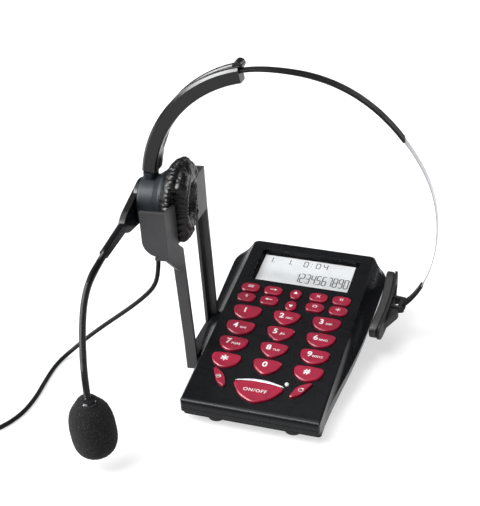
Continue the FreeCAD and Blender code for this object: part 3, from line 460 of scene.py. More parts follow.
# ---------------------------------------------------------------- settings
class DialPadColours(bpy.types.PropertyGroup):
    """Colours of the main finishes."""

    case: FloatVectorProperty(name="Case", description="Console's satin black", subtype="COLOR",
                              size=3, min=0, max=1, default=(0.0038, 0.0041, 0.0051))
    key: FloatVectorProperty(name="Keys", description="Crimson of the keys", subtype="COLOR",
                             size=3, min=0, max=1, default=(0.29, 0.005, 0.031))
    stand: FloatVectorProperty(name="Stand", description="Dark grey of the stand", subtype="COLOR",
                               size=3, min=0, max=1, default=(0.026, 0.026, 0.028))
    cup: FloatVectorProperty(name="Cup", description="Black of the cup, the boom and the arm",
                             subtype="COLOR", size=3, min=0, max=1, default=(0.0040, 0.0040, 0.0048))
    hub: FloatVectorProperty(name="Hub", description="Blue-grey of the hub behind the cup", subtype="COLOR",
                             size=3, min=0, max=1, default=(0.010, 0.015, 0.020))
    bar: FloatVectorProperty(name="T-bar", description="Grey of the T-bar", subtype="COLOR",
                             size=3, min=0, max=1, default=(0.012, 0.012, 0.012))
    cushion: FloatVectorProperty(name="Cushion", description="Leatherette of the ear cushion",
                                 subtype="COLOR", size=3, min=0, max=1, default=(0.0045, 0.0043, 0.0045))
    foam: FloatVectorProperty(name="Windscreen", description="Foam of the windscreen", subtype="COLOR",
                              size=3, min=0, max=1, default=(0.0045, 0.0040, 0.0048))
    display: FloatVectorProperty(name="Display", description="Pale sheet of the display", subtype="COLOR",
                                 size=3, min=0, max=1, default=(0.82, 0.84, 0.86))


class DialPadCord(bpy.types.PropertyGroup):
    """Headset cord."""

    length: FloatProperty(name="Length", description="Whole length of the cord", unit="LENGTH", default=1.5)
    diameter: FloatProperty(name="Diameter", description="Thickness of the jacket", unit="LENGTH",
                            default=0.0027)
    pitch: FloatProperty(name="Turn pitch", description="From one turn of the coil to the next",
                         unit="LENGTH", default=0.00272)
    coil_radius: FloatProperty(name="Coil radius", description="Middle radius of the coil's turns",
                               unit="LENGTH", default=0.015)


class DialPadCushion(bpy.types.PropertyGroup):
    """Ear cushion and its simulation."""

    voxel: FloatProperty(name="Voxel", description="Remesh size of the cushion", unit="LENGTH",
                         default=0.0009)
    pressure: FloatProperty(name="Pressure", description="Pressure of the filling", default=5.0)
    frames: IntProperty(name="Frames", description="Frames that the cloth is simulated for", default=20)
    cap: FloatProperty(name="Cap", description="Farthest that a point may move", unit="LENGTH",
                       default=0.0004)


class DialPadStudio(bpy.types.PropertyGroup):
    """Camera and lights."""

    camera: FloatVectorProperty(name="Camera", description="Place of the camera", subtype="TRANSLATION",
                                size=3, default=(0.15415, -0.57933, 0.4302))
    aim: FloatVectorProperty(name="Aim", description="Direction in which the camera looks",
                             subtype="DIRECTION", size=3, default=(-0.2494, 0.8355, -0.4896))
    view_angle: FloatProperty(name="View angle", description="Camera's angle across the picture",
                              subtype="ANGLE", default=math.radians(22.28))
    top_light: FloatProperty(name="Top light", description="Strength of the wide light from above",
                             default=1.3)
    front_light: FloatProperty(name="Front light", description="Strength of the small high light in front",
                               default=1.8)
    left_light: FloatProperty(name="Left light", description="Strength of the soft light from the left",
                              default=2.4)
    gleam_light: FloatProperty(name="Gleam light", description="Strength of the panel that only glosses show",
                               default=9.0)
    right_light: FloatProperty(name="Right light", description="Strength of the soft light from the right",
                               default=0.4)
    back_light: FloatProperty(name="Back light", description="Strength of the small low light behind",
                              default=0.25)
    floor_glow: FloatProperty(name="Floor glow", description="Light of the floor's own, which fills shadows",
                              default=0.6)
    room: FloatProperty(name="Room", description="Brightness of the dim room", default=0.12)


# ---------------------------------------------------------------- stage
# Where each light shines and the angle that it spans, in degrees; its strength is the setting of its name.
LIGHTS = {
    "top": ((0.12, -0.15, -1), 46), "front": ((0.25, 0.50, -0.85), 22), "left": ((0.72, 0.34, -0.58), 28),
    "gleam": ((0.72, 0.34, -0.60), 46), "back": ((-0.45, -0.85, -0.28), 8), "right": ((-0.8, 0.4, -0.45), 36),
}


def soft_light(name, strength):
    """Wide even light, as from a far large panel; the gleam light shows in glosses only."""
    towards, width = LIGHTS[name]
    data = bpy.data.lights.new(name, "SUN")
    set_up(data, energy=strength, angle=math.radians(width))
    light = bpy.data.objects.new(name, data)
    set_up(light, rotation_mode="QUATERNION", rotation_quaternion=Vector(towards).to_track_quat("-Z", "Y"),
           visible_diffuse=name != "gleam")
    bpy.context.scene.collection.objects.link(light)


class DIALPAD_OT_stage(bpy.types.Operator):
    """Set the camera, the pale floor and the soft studio light."""

    bl_idname = "dialpad.stage"
    bl_label = "Stage"

    def execute(self, context):
        studio = context.scene.dial_pad_studio
        data = bpy.data.cameras.new("camera")
        set_up(data, sensor_fit="HORIZONTAL", sensor_width=36.0, clip_end=30)
        data.lens = data.sensor_width / 2 / math.tan(studio.view_angle / 2)
        camera = bpy.data.objects.new("camera", data)
        set_up(camera, location=studio.camera, rotation_mode="QUATERNION",
               rotation_quaternion=Vector(studio.aim).to_track_quat("-Z", "Y"))
        context.scene.collection.objects.link(camera)
        context.scene.camera = camera

        deselect()
        bpy.ops.mesh.primitive_plane_add(size=9)
        floor = named("floor")
        white = Finish("floor_white", (0.45, 0.45, 0.455), 0.85)
        white.colour(white.noise(3, 2), (0.445, 0.445, 0.45), (0.46, 0.46, 0.465))
        white.shader.inputs["Emission Color"].default_value = (1, 1, 1, 1)
        white.shader.inputs["Emission Strength"].default_value = studio.floor_glow
        floor.data.materials.append(white.material)

        for name in LIGHTS:
            soft_light(name, getattr(studio, name + "_light"))
        world = bpy.data.worlds.new("room")
        world.use_nodes = True
        world.node_tree.nodes["Background"].inputs["Color"].default_value = (1, 1, 1, 1)
        world.node_tree.nodes["Background"].inputs["Strength"].default_value = studio.room
        context.scene.view_settings.view_transform = "Standard"
        context.scene.world = world
        return {"FINISHED"}


# ---------------------------------------------------------------- finishes of the CAD nodes
OWN_FINISHES = {"cup_housing": "hub_grey", "gooseneck": "mask_black"}


class DIALPAD_OT_finishes(bpy.types.Operator):
    """Give every rigid CAD node the finish of its slot."""

    bl_idname = "dialpad.finishes"
    bl_label = "Finishes"

    def execute(self, context):
        for name, node in frame["nodes"].items():
            cover(node, OWN_FINISHES.get(name, SLOTS[name]))
        return {"FINISHED"}


# ---------------------------------------------------------------- cord
# Metres, from the floor under the middle of the key panel's front edge.
CORD_ROUTE = (
    (-0.0691, 0.0496, 0.0830), (-0.0697, 0.0496, 0.0700), (-0.0716, 0.0496, 0.0610),
    (-0.0768, 0.0496, 0.0532), (-0.0885, 0.0496, 0.0414), (-0.1055, 0.0497, 0.0264),
    (-0.1195, 0.0498, 0.0132), (-0.1280, 0.0482, 0.0046), (-0.1324, 0.0420, 0.0014),
    (-0.1334, 0.0310, 0.0014), (-0.1324, 0.0155, 0.0014), (-0.1307, -0.0015, 0.0014),
    (-0.1316, -0.0190, 0.0014), (-0.1376, -0.0340, 0.0014), (-0.1473, -0.0449, 0.0014),
    (-0.1573, -0.0526, 0.0014),
)
COIL_CENTRE = (-0.1682, -0.0365, 0.0)
COIL_ENTRY = math.radians(-56.0)
COIL_LAYERS = 4
TURNS_ACROSS = 3.25
POINTS_PER_TURN = 18
CLIMB_TURNS = 0.25
CORD_EXIT = Vector((-19.6, 0, -21.5))
PLUG_RADIUS, PLUG_HEIGHT = 0.0154, 0.01388


def on_floor(point):
    return Vector((point[0] + PANEL_EDGE.x, point[1] + PANEL_EDGE.y, point[2]))


def coil_point(radius, turns, height):
    """A control point of the coil, this many turns on; the spline runs just inside its points."""
    reach = radius / math.cos(math.pi / POINTS_PER_TURN)
    angle = COIL_ENTRY - 2 * math.pi * turns
    return on_floor(COIL_CENTRE) + Vector((reach * math.cos(angle), reach * math.sin(angle), height))


def coil_points(settings):
    """Turns of a neat coil, laid clockwise layer on layer, in and out, then the climb to the plug on top."""
    half_span = TURNS_ACROSS * settings.pitch / 2
    all_turns = TURNS_ACROSS * COIL_LAYERS
    points = []
    for step in range(1, round(all_turns * POINTS_PER_TURN) + 1):
        turns = step / POINTS_PER_TURN
        layer = min(int(turns / TURNS_ACROSS), COIL_LAYERS - 1)
        share = turns / TURNS_ACROSS - layer
        outward = 1 - 2 * share if layer % 2 == 0 else 2 * share - 1
        climb = 1 - min(1.0, share * TURNS_ACROSS / CLIMB_TURNS) if layer else 0
        height = settings.diameter / 2 + settings.pitch * (layer - climb)
        points.append(coil_point(settings.coil_radius + half_span * outward, turns, height))
    outer, top = settings.coil_radius + half_span, settings.diameter / 2 + settings.pitch * COIL_LAYERS
    for share in (0.25, 0.5, 0.75, 1.0):
        points.append(coil_point(outer, all_turns + CLIMB_TURNS * share, top - settings.pitch * (1 - share)))
    for step in range(1, 7):
        share = step / 6
        radius = outer - (outer - PLUG_RADIUS) * share ** 2
        height = top + (PLUG_HEIGHT - top) * share
        points.append(coil_point(radius, all_turns + CLIMB_TURNS + share / 3, height))
    return points


class DIALPAD_OT_cord(bpy.types.Operator):
    """Lay the headset cord along its route, its rest in a coil, as one spline."""

    bl_idname = "dialpad.cord"
    bl_label = "Cord"

    def execute(self, context):
        settings = context.scene.dial_pad_cord
        start = cup_frame() @ (CORD_EXIT * MM)
        points = [start] + [on_floor(point) for point in CORD_ROUTE] + coil_points(settings)
        cord = smooth_curve("cord", points, 4)
        set_up(cord.data, bevel_depth=settings.diameter / 2, bevel_resolution=4, use_fill_caps=True)
        cord.data.materials.append(finish_for("cord_black"))
        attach(cord, "headset")
        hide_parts("headset_cord", "cord_coil")
        return {"FINISHED"}


# ---------------------------------------------------------------- ear cushion
# Millimetres: the ring's axis is the cup's, raised and turned a little, and its section is given as a radius
# at each angle about the section's middle, from the back of the ring over its outside to its front.
RING_MID_S, RING_RADIUS = -4.2, 17.0
RING_RISE, RING_TURN = 1.6, math.radians(3.3)
SECTION = (
    (-180, 8.6), (-150, 6.6), (-120, 5.4), (-90, 4.7), (-72, 5.0), (-60, 5.4), (-45, 5.6), (-30, 5.9),
    (-15, 6.4), (0, 7.0), (12, 7.5), (20, 7.4), (27, 6.5), (35, 7.5), (45, 8.0), (60, 8.2), (75, 8.3),
    (87, 8.2), (95, 7.6), (103, 8.4), (115, 9.0), (126, 9.2), (142, 9.1), (160, 8.8), (180, 8.6),
)
SEAM_ANGLES = (27.0, 95.0)
SEAM_HALF_WIDTH = 4
BACK_HELD = (-130, -60)
# Puckers on each side of the seams: how many go round the ring, and where their drift starts.
BACK_PUCKERS, FRONT_PUCKERS, HOLE_PUCKERS = (54, 0.3), (44, 4.1), (38, 7.7)
NEAR_WIDEN, NEAR_RAISE = 0.8, 2.0
WALL_FACE = -1.95
FRONT_WALL, REAR_WALL = (-16.8, 10.6), (16.0, 8.0)
# The fold beside the front wall starts inside the wall's edge, turns within the bulge, stands out by the
# reach and fades out above the wall's top.  Beside the rear wall the ring slopes away, with a little give.
FOLD_START, BULGE, FOLD_REACH = 2.5, 4.0, 2.4
FADE_END, FADE_LENGTH = 8.0, 7.5
REAR_SLOPE, REAR_GIVE = 3.0, 0.02
SKIN_SCALE = 10.0  # simulated ten times as large, where cloth behaves
SKIN = dict(quality=6, mass=0.15, tension_stiffness=12, compression_stiffness=12, bending_stiffness=0.05,
            use_pressure=True, shrink_min=-0.14)
# A ring or disc that was made lying flat, faced along the cup's axis.
ON_AXIS = Matrix(((0, 0, 1, 0), (1, 0, 0, 0), (0, 1, 0, 0), (0, 0, 0, 1)))


def section_radius(degrees):
    """Radius of the ring's section at this angle, eased between the given ones."""
    for (low, start), (high, end) in zip(SECTION, SECTION[1:]):
        if degrees <= high:
            return start + (end - start) * ease((degrees - low) / (high - low))
    return SECTION[-1][1]


def ring_place(co):
    """Angle round the ring, angle round its section and the way out from the section's middle."""
    out = math.hypot(co.x, co.y) / MM - RING_RADIUS
    return math.atan2(co.y, co.x), math.degrees(math.atan2(co.z / MM, out))


def gathers(angle, count, seed):
    """Uneven puckers along a seam: below 0 in the folds and above it on the swells between them."""
    drift = noise.noise(Vector((math.cos(angle) * 3, math.sin(angle) * 3, seed)))
    return abs(math.sin(angle * count / 2 + 2.4 * drift)) ** 0.6 - 0.6


class DIALPAD_OT_cushion(bpy.types.Operator):
    """Inflate the ear cushion: a ring of leatherette gathered along two seams and pressed by the stand."""

    bl_idname = "dialpad.cushion"
    bl_label = "Ear cushion"

    def execute(self, context):
        settings = context.scene.dial_pad_cushion
        deselect()
        bpy.ops.mesh.primitive_torus_add(major_radius=RING_RADIUS * MM * SKIN_SCALE, minor_radius=0.05,
                                         major_segments=144, minor_segments=72)
        ring = named("cushion")

        def section(co):
            around = Vector((co.x, co.y, 0)).normalized()
            out = math.hypot(co.x, co.y) - RING_RADIUS * MM * SKIN_SCALE
            reach = section_radius(math.degrees(math.atan2(co.z, out))) * MM * SKIN_SCALE
            share = reach / math.hypot(out, co.z)
            return around * (RING_RADIUS * MM * SKIN_SCALE + out * share) + Vector((0, 0, co.z * share))

        reshape(ring, section)
        modify(ring, "REMESH", mode="VOXEL", voxel_size=settings.voxel * SKIN_SCALE)
        finish_modifiers(ring)
        self.simulate(ring, settings)
        subdivide(ring, 1)
        finish_modifiers(ring)
        settle(ring, Matrix.Diagonal((1 / SKIN_SCALE, 1 / SKIN_SCALE, 1 / SKIN_SCALE, 1)))
        reshape(ring, self.crease)
        reshape(ring, self.swell)
        place = Matrix.Translation(Vector((RING_MID_S, 0, RING_RISE)) * MM)
        settle(ring, place @ Matrix.Rotation(RING_TURN, 4, "Y") @ ON_AXIS)
        reshape(ring, self.squeeze)
        settle(ring, cup_frame())
        face_out(ring)
        smooth(ring, 60)
        dress(ring, "headset", "cushion_leatherette")
        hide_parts("ear_cushion")
        return {"FINISHED"}

    def simulate(self, ring, settings):
        """Blows the ring up like cloth, held along its seams and its back, and caps how far a point moves."""
        rest = [vertex.co.copy() for vertex in ring.data.vertices]
        group = ring.vertex_groups.new(name="held")
        for vertex in ring.data.vertices:
            _, turned = ring_place(vertex.co / SKIN_SCALE)
            at_seam = min(abs(turned - seam) for seam in SEAM_ANGLES) < SEAM_HALF_WIDTH
            if at_seam or BACK_HELD[0] < turned < BACK_HELD[1]:
                group.add([vertex.index], 1.0, "REPLACE")
        cloth = ring.modifiers.new("cloth", "CLOTH")
        set_up(cloth.settings, uniform_pressure_force=settings.pressure, vertex_group_mass="held", **SKIN)
        cloth.settings.effector_weights.gravity = 0
        set_up(cloth.point_cache, frame_start=1, frame_end=settings.frames)
        scene = bpy.context.scene
        for number in range(1, settings.frames + 1):
            scene.frame_set(number)
        finish_modifiers(ring)
        cap = settings.cap * SKIN_SCALE
        for vertex, place in zip(ring.data.vertices, rest):
            moved = vertex.co - place
            if moved.length > cap:
                vertex.co = place + moved * (cap / moved.length)
        ring.data.update()
        scene.frame_set(1)

    @staticmethod
    def crease(co):
        """Stitched grooves, the puckers that run back from them, and soft creases between."""
        angle, turned = ring_place(co)
        outer, inner = SEAM_ANGLES
        inner_share = 1 - 0.8 * clamp((math.sin(angle) - 0.25) / 0.45)  # calmer at the top
        back = hump(turned - outer + 15, 12) * gathers(angle, *BACK_PUCKERS)
        front = hump(turned - inner + 13, 11) * gathers(angle, *FRONT_PUCKERS)
        hole = hump(turned - inner - 14, 12) * gathers(angle, *HOLE_PUCKERS)
        lean = Vector((math.cos(angle) * 9, math.sin(angle) * 9, turned / 24))
        soft = noise.noise(lean) * (1 if turned > BACK_HELD[1] else 0)
        stitched, gathered = hump(turned - outer, 3.2), hump(turned - inner, 3.2)
        push = 1.25 * back + inner_share * (1.1 * front + 0.7 * hole - 0.5 * gathered)
        push += 0.22 * soft - 0.5 * stitched
        around = Vector((math.cos(angle), math.sin(angle), 0))
        return co + (co - around * RING_RADIUS * MM).normalized() * push * MM

    @staticmethod
    def swell(co):
        """The ring's front swells on the near side, by the front wall, and sinks on the far one."""
        around = Vector((co.x, co.y, 0)).normalized()
        swollen = around * NEAR_WIDEN + Vector((0, 0, NEAR_RAISE))
        return co + swollen * -around.x * ease((co.z / MM + 1.0) / 7.0) * MM

    @staticmethod
    def squeeze(co):
        """The ring is flat behind the stand's two walls and swells out in one fold beside the front wall."""
        s, y, z = (value / MM for value in co)
        edge, top = FRONT_WALL
        deep = edge + FOLD_START - y
        if deep > 0 and s > WALL_FACE:
            low = ease((top + FADE_END - z) / FADE_LENGTH)
            turn = clamp(deep / (BULGE + FOLD_START)) * math.pi / 2
            pushed = s + (WALL_FACE - s) * (1 - math.cos(turn))
            beside = edge + FOLD_START - FOLD_REACH * math.sin(turn)
            beside = max(y, beside - 2 * max(0.0, deep - BULGE - FOLD_START))
            pucker = max(0.0, 1.6 * gathers(math.atan2(z - RING_RISE, y), *FRONT_PUCKERS))
            beside += pucker * math.sin(turn) * clamp((s + 1.0) / 2.0)
            s += (pushed - s) * low
            y += (beside - y) * low
        limit = WALL_FACE + REAR_SLOPE * max(0.0, REAR_WALL[0] - y, z - REAR_WALL[1])
        if s > limit and y > 0:
            s = limit + (s - limit) * REAR_GIVE
        return Vector((s, y, z)) * MM


# Millimetres: the speaker cloth's radius, how far it bulges and drops at its hem, and its place on the axis.
DISC_RADIUS, DISC_BULGE, DISC_HEM, DISC_S = 14.4, 1.3, 0.4, -7.9


class DIALPAD_OT_speaker_cloth(bpy.types.Operator):
    """Stretch a woven cloth disc over the speaker, inside the cushion's opening."""

    bl_idname = "dialpad.speaker_cloth"
    bl_label = "Speaker cloth"

    def execute(self, context):
        deselect()
        bpy.ops.mesh.primitive_circle_add(vertices=64, radius=DISC_RADIUS * MM, fill_type="TRIFAN")
        cloth = named("speaker_cloth")
        edit_all(cloth, bpy.ops.mesh.subdivide, number_cuts=5)

        def dome(co):
            share = clamp(co.length / (DISC_RADIUS * MM))
            return Vector((co.x, co.y, (DISC_BULGE * (1 - share ** 2) - DISC_HEM * share ** 6) * MM))

        reshape(cloth, dome)
        thicken(cloth, 0.25)
        settle(cloth, cup_frame() @ spot(DISC_S, 0) @ ON_AXIS)
        face_out(cloth)
        smooth(cloth)
        cover(cloth, "speaker_cloth")
        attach(cloth, "headset")
        return {"FINISHED"}


# ---------------------------------------------------------------- boom
# Millimetres in the stand's frame, across and up, in the plane beside the cup.
NECK_ROUTE = (
    (-9.0, 101.6), (-28.3, 98.9), (-39.4, 91.2), (-45.6, 79.3), (-49.4, 65.2), (-51.6, 50.5), (-51.4, 36.5),
)
BOOM_S = -26.6
CUP_Y, CUP_Z = 49.6, 106.0
FOAM_CENTRE = (-50.2, 17.6)
FOAM_HALF_WIDTH, FOAM_HALF_HEIGHT = 12.5, 17.3
FOAM_LEAN = math.radians(-5)
FOAM_SQUARENESS, FOAM_TAPER = 2.7, 0.03
LIP_HEIGHT, LIP_WIDTH, NIP_HEIGHT, NIP_WIDTH = 2.9, 0.48, 0.4, 0.3
# Clouds that the foam's surface follows: their size and how far they stand out.
FOAM_LUMPS, FOAM_PITS = (5.0, 0.35), (0.9, 0.42)
RIB_RADIUS, RIB_WIRE, RIB_PITCH = 1.49, 0.43, 0.86


def beside_cup(y, z):
    """A point of the boom's plane, in the cup's frame in metres."""
    return Vector((BOOM_S, y - CUP_Y, z - CUP_Z)) * MM


class DIALPAD_OT_windscreen(bpy.types.Operator):
    """Model the foam windscreen: a soft pitted barrel, drawn up round the collar of the capsule."""

    bl_idname = "dialpad.windscreen"
    bl_label = "Windscreen"

    def execute(self, context):
        deselect()
        bpy.ops.mesh.primitive_uv_sphere_add(segments=96, ring_count=64, radius=1.0)
        foam = named("windscreen_foam")

        def barrel(co):
            wide = math.hypot(co.x, co.y)
            square = (wide ** FOAM_SQUARENESS + abs(co.z) ** FOAM_SQUARENESS) ** (-1 / FOAM_SQUARENESS)
            flank = FOAM_HALF_WIDTH * square * (1 - FOAM_TAPER * co.z)
            lip = LIP_HEIGHT * math.exp(-(wide / LIP_WIDTH) ** 6)
            rise = lip if co.z > 0 else NIP_HEIGHT * hump(wide, NIP_WIDTH)
            return Vector((co.x * flank, co.y * flank, FOAM_HALF_HEIGHT * co.z * square + rise)) * MM

        reshape(foam, barrel)
        self.roughen(foam, *FOAM_LUMPS)
        subdivide(foam, 1)
        self.roughen(foam, *FOAM_PITS)
        finish_modifiers(foam)
        lean = Matrix.Rotation(FOAM_LEAN, 4, "Y")
        settle(foam, cup_frame() @ Matrix.Translation(beside_cup(*FOAM_CENTRE)) @ lean)
        smooth(foam, 80)
        dress(foam, "boom", "foam_black")
        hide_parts("windscreen")
        return {"FINISHED"}

    def roughen(self, foam, size, strength):
        clouds = set_up(bpy.data.textures.new("clouds", "CLOUDS"), noise_scale=size * MM, noise_depth=2)
        modify(foam, "DISPLACE", texture=clouds, texture_coords="LOCAL", strength=strength * MM,
               mid_level=0.5)


class DIALPAD_OT_gooseneck(bpy.types.Operator):
    """Wind the gooseneck's ribs: rings in a row, bent along the neck."""

    bl_idname = "dialpad.gooseneck"
    bl_label = "Gooseneck"

    def execute(self, context):
        cup = cup_frame()
        path = smooth_curve("neck_path", [cup @ beside_cup(y, z) for y, z in NECK_ROUTE], 16)
        core = bpy.data.meshes.new_from_object(path)
        places = [vertex.co for vertex in core.vertices]
        length = sum((b - a).length for a, b in zip(places, places[1:]))
        bpy.data.meshes.remove(core)

        pitch = RIB_PITCH * MM
        deselect()
        bpy.ops.mesh.primitive_torus_add(major_radius=RIB_RADIUS * MM, minor_radius=RIB_WIRE * MM,
                                         major_segments=22, minor_segments=10, rotation=(0, math.pi / 2, 0))
        ribs = named("gooseneck_ribs")
        settle(ribs)
        modify(ribs, "ARRAY", use_relative_offset=False, use_constant_offset=True,
               constant_offset_displace=(pitch, 0, 0), count=int(length / pitch))
        modify(ribs, "CURVE", object=path, deform_axis="POS_X")
        finish_modifiers(ribs)
        bpy.data.objects.remove(path)
        smooth(ribs, 60)
        dress(ribs, "boom", "neck_rubber")
        return {"FINISHED"}


# ---------------------------------------------------------------- T-bar
PAD_HALVES = Vector((26.2, 5.5, 2.8))
PAD_REACH, PAD_BOW, PAD_CROWN, PAD_LIFT = 26.4, 2.1, 0.5, 0.75
# Share of the pad's half length where its ends start to round, how round they are, and what is left of the
# width and the thickness at the tips.
END_START, END_ROUND, TIP_WIDTH, TIP_THICKNESS = 0.72, 0.08, 0.25, 0.6


class DIALPAD_OT_temple_pad(bpy.types.Operator):
    """Mould the soft pad that rests above the other ear."""

    bl_idname = "dialpad.temple_pad"
    bl_label = "Temple pad"

    def execute(self, context):
        deselect()
        bpy.ops.mesh.primitive_cube_add(size=2)
        pad = named("temple_cushion")
        pad.scale = PAD_HALVES * MM
        settle(pad)
        edit_all(pad, bpy.ops.mesh.subdivide, number_cuts=3)
        modify(pad, "BEVEL", width=1.1 * MM, segments=3)
        subdivide(pad, 2)
        finish_modifiers(pad)

        def bow(co):
            share = co.x / (PAD_REACH * MM)
            round_end = math.sqrt(max(0.0, 1 - max(0.0, abs(share) - END_START) ** 2 / END_ROUND))
            rise = PAD_BOW * (1 - share ** 2)
            crown = PAD_CROWN * (1 - (co.y / (PAD_HALVES.y * MM)) ** 2) * (1 if co.z < 0 else 0)
            thick = co.z * (TIP_THICKNESS + (1 - TIP_THICKNESS) * round_end)
            wide = co.y * (TIP_WIDTH + (1 - TIP_WIDTH) * round_end)
            return Vector((co.x, wide, thick + (PAD_LIFT + rise - crown) * MM))

        reshape(pad, bow)
        settle(pad, temple_frame())
        face_out(pad)
        smooth(pad, 60)
        dress(pad, "t_bar", "pad_black")
        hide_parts("temple_pad")
        return {"FINISHED"}


# ---------------------------------------------------------------- legends and display
INK_DEPTH, INK_SUNK = 0.05, 0.01
DIAL_COLUMNS = (-25.0, 0.0, 25.0)
DIAL_ROWS = (83.9, 68.8, 53.7, 38.6)
DIAL_SIGNS = ("123", "456", "789", "*0#")
SIGN_KEYS = {"*": "star", "#": "hash"}
LETTERS = {"2": "ABC", "3": "DEF", "4": "GHI", "5": "JKL", "6": "MNO", "7": "PQRS", "8": "TUV", "9": "WXYZ"}
# Size of a sign and its place across and up from the key's middle: beside letters, alone, and two apart.
BESIDE_LETTERS, ALONE = (6.0, -2.9, 0.6), (6.0, -1.2, 0.6)
OWN_PLACES = {"*": (10.4, -0.8, -1.4), "#": (6.0, -0.8, 0.6)}


def print_text(text, size, x, y, bold, spacing=1.0):
    """Printed text on a key, as a thin raised mesh; the place is in the console's millimetres."""
    deselect()
    bpy.ops.object.text_add(location=(0, 0, 0))
    label = bpy.context.object
    set_up(label.data, body=text, align_x="CENTER", align_y="CENTER", size=size * MM, resolution_u=4,
           space_character=spacing, extrude=INK_DEPTH / 2 * MM, offset=bold * MM)
    pick(label)
    bpy.ops.object.convert(target="MESH")
    label = bpy.context.object
    settle(label, console_frame() @ spot(x, y, KEY_TOP + INK_DEPTH / 2 - INK_SUNK))
    return label


def bar(x, y, long, wide, turn=0.0):
    """One printed stroke: a thin slab with rounded corners, in the console's millimetres."""
    deselect()
    bpy.ops.mesh.primitive_cube_add(size=1)
    stroke = bpy.context.object
    stroke.scale = Vector((long, wide, INK_DEPTH)) * MM
    settle(stroke)
    modify(stroke, "BEVEL", width=min(wide, long) * 0.3 * MM, segments=2, limit_method="NONE",
           affect="VERTICES")
    finish_modifiers(stroke)
    settle(stroke, spot(x, y, 0, turn))
    return stroke


def blade(x, y, radius, corners, turn=0.0):
    """A printed disc, or with three corners an arrow head."""
    deselect()
    bpy.ops.mesh.primitive_cylinder_add(vertices=corners, radius=radius * MM, depth=INK_DEPTH * MM)
    disc = bpy.context.object
    settle(disc, spot(x, y, 0, turn))
    return disc


def hoop(radius, wide):
    deselect()
    bpy.ops.mesh.primitive_torus_add(major_radius=radius * MM, minor_radius=wide / 2 * MM,
                                     major_segments=32, minor_segments=8)
    ring = bpy.context.object
    ring.scale = (1, 1, INK_DEPTH / wide)
    settle(ring)
    return ring


QUARTER = math.pi / 4
# The strokes of each function key's mark, about its middle: what makes each and its numbers.
MARKS = {
    "set": [(bar, 0, y, 3.6, 0.42) for y in (-0.85, 0, 0.85)],
    "out": [(bar, -0.5, 0, 3.0, 0.55), (blade, 1.5, 0, 1.15, 3, -2 * QUARTER)],
    "back": [(bar, 0.5, 0, 3.0, 0.55), (blade, -1.5, 0, 1.15, 3, 2 * QUARTER)],
    "delete": [(bar, 0, 0, 2.9, 0.5, turn) for turn in (QUARTER, -QUARTER)],
    "pause": [(bar, x, 0, 0.6, 2.2) for x in (-0.6, 0.6)],
    "flash": [(bar, -0.35, 0.55, 1.9, 0.5, 1.05), (bar, 0, 0, 1.5, 0.5, 0.1),
              (bar, 0.35, -0.55, 1.9, 0.5, 1.05)],
    "hold": [(bar, x, 0, 0.45, 2.2) for x in (-1.1, 1.1)] + [(bar, 0, y, 2.2, 0.45) for y in (-0.9, 0.9)],
    "bright": [(blade, 0, 0, 0.7, 20)] + [
        (bar, 1.3 * math.cos(turn), 1.3 * math.sin(turn), 0.65, 0.3, turn)
        for turn in (number * QUARTER for number in range(8))],
    "up": [(blade, 0, 0, 1.6, 3)],
    "down": [(blade, 0, 0, 1.6, 3, math.pi)],
    "mute": [(hoop, 1.35, 0.42), (bar, 0, 0, 3.4, 0.42, QUARTER)],
    "redial": [(hoop, 1.35, 0.42), (blade, 1.3, 0.1, 0.95, 3, 0.1)],
}
# Where each mark stands on the console, and its turn.
MARK_PLACES = {
    "set": (-29.3, 108.0, 0), "out": (-14.6, 108.0, 0), "delete": (14.6, 108.0, 0), "pause": (29.3, 108.0, 0),
    "flash": (-29.3, 98.0, 0), "back": (-14.6, 98.0, 0), "hold": (14.6, 98.0, 0), "bright": (29.3, 98.0, 0),
    "up": (0, 107.8, 0), "down": (0, 95.0, 0), "mute": (-24.6, 23.4, -0.9), "redial": (24.6, 23.4, 0.9),
}


class DIALPAD_OT_legends(bpy.types.Operator):
    """Print the digits and their letters on the dial keys, and ON/OFF on the main key."""

    bl_idname = "dialpad.legends"
    bl_label = "Key legends"

    def execute(self, context):
        for y, row in zip(DIAL_ROWS, DIAL_SIGNS):
            for x, sign in zip(DIAL_COLUMNS, row):
                letters = LETTERS.get(sign)
                size, across, up = OWN_PLACES.get(sign, BESIDE_LETTERS if letters else ALONE)
                parts = [print_text(sign, size, x + across, y + up, 0.16)]
                if letters:
                    parts.append(print_text(letters, 2.3, x + 2.0, y - 0.7, 0.06))
                self.print_key(SIGN_KEYS.get(sign, sign), parts)
        self.print_key("on_off", [print_text("ON/OFF", 3.5, -0.8, 16.6, 0.04, spacing=1.14)])
        return {"FINISHED"}

    def print_key(self, key, parts):
        label = join("legend_" + key, parts)
        cover(label, "legend_white")
        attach(label, "key_" + key + "_cap")


class DIALPAD_OT_symbols(bpy.types.Operator):
    """Print a plain mark on every function key."""

    bl_idname = "dialpad.symbols"
    bl_label = "Key symbols"

    def execute(self, context):
        for key, (x, y, turn) in MARK_PLACES.items():
            mark = join("symbol_" + key, [make(*numbers) for make, *numbers in MARKS[key]])
            settle(mark, console_frame() @ spot(x, y, KEY_TOP + INK_DEPTH / 2 - INK_SUNK, turn))
            cover(mark, "legend_white")
            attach(mark, "key_" + key + "_cap")
        return {"FINISHED"}


SEGMENTS = {
    "0": "abcdef", "1": "bc", "2": "abged", "3": "abgcd", "4": "fgbc",
    "5": "afgcd", "6": "afgedc", "7": "abc", "8": "abcdefg", "9": "abcdfg",
}
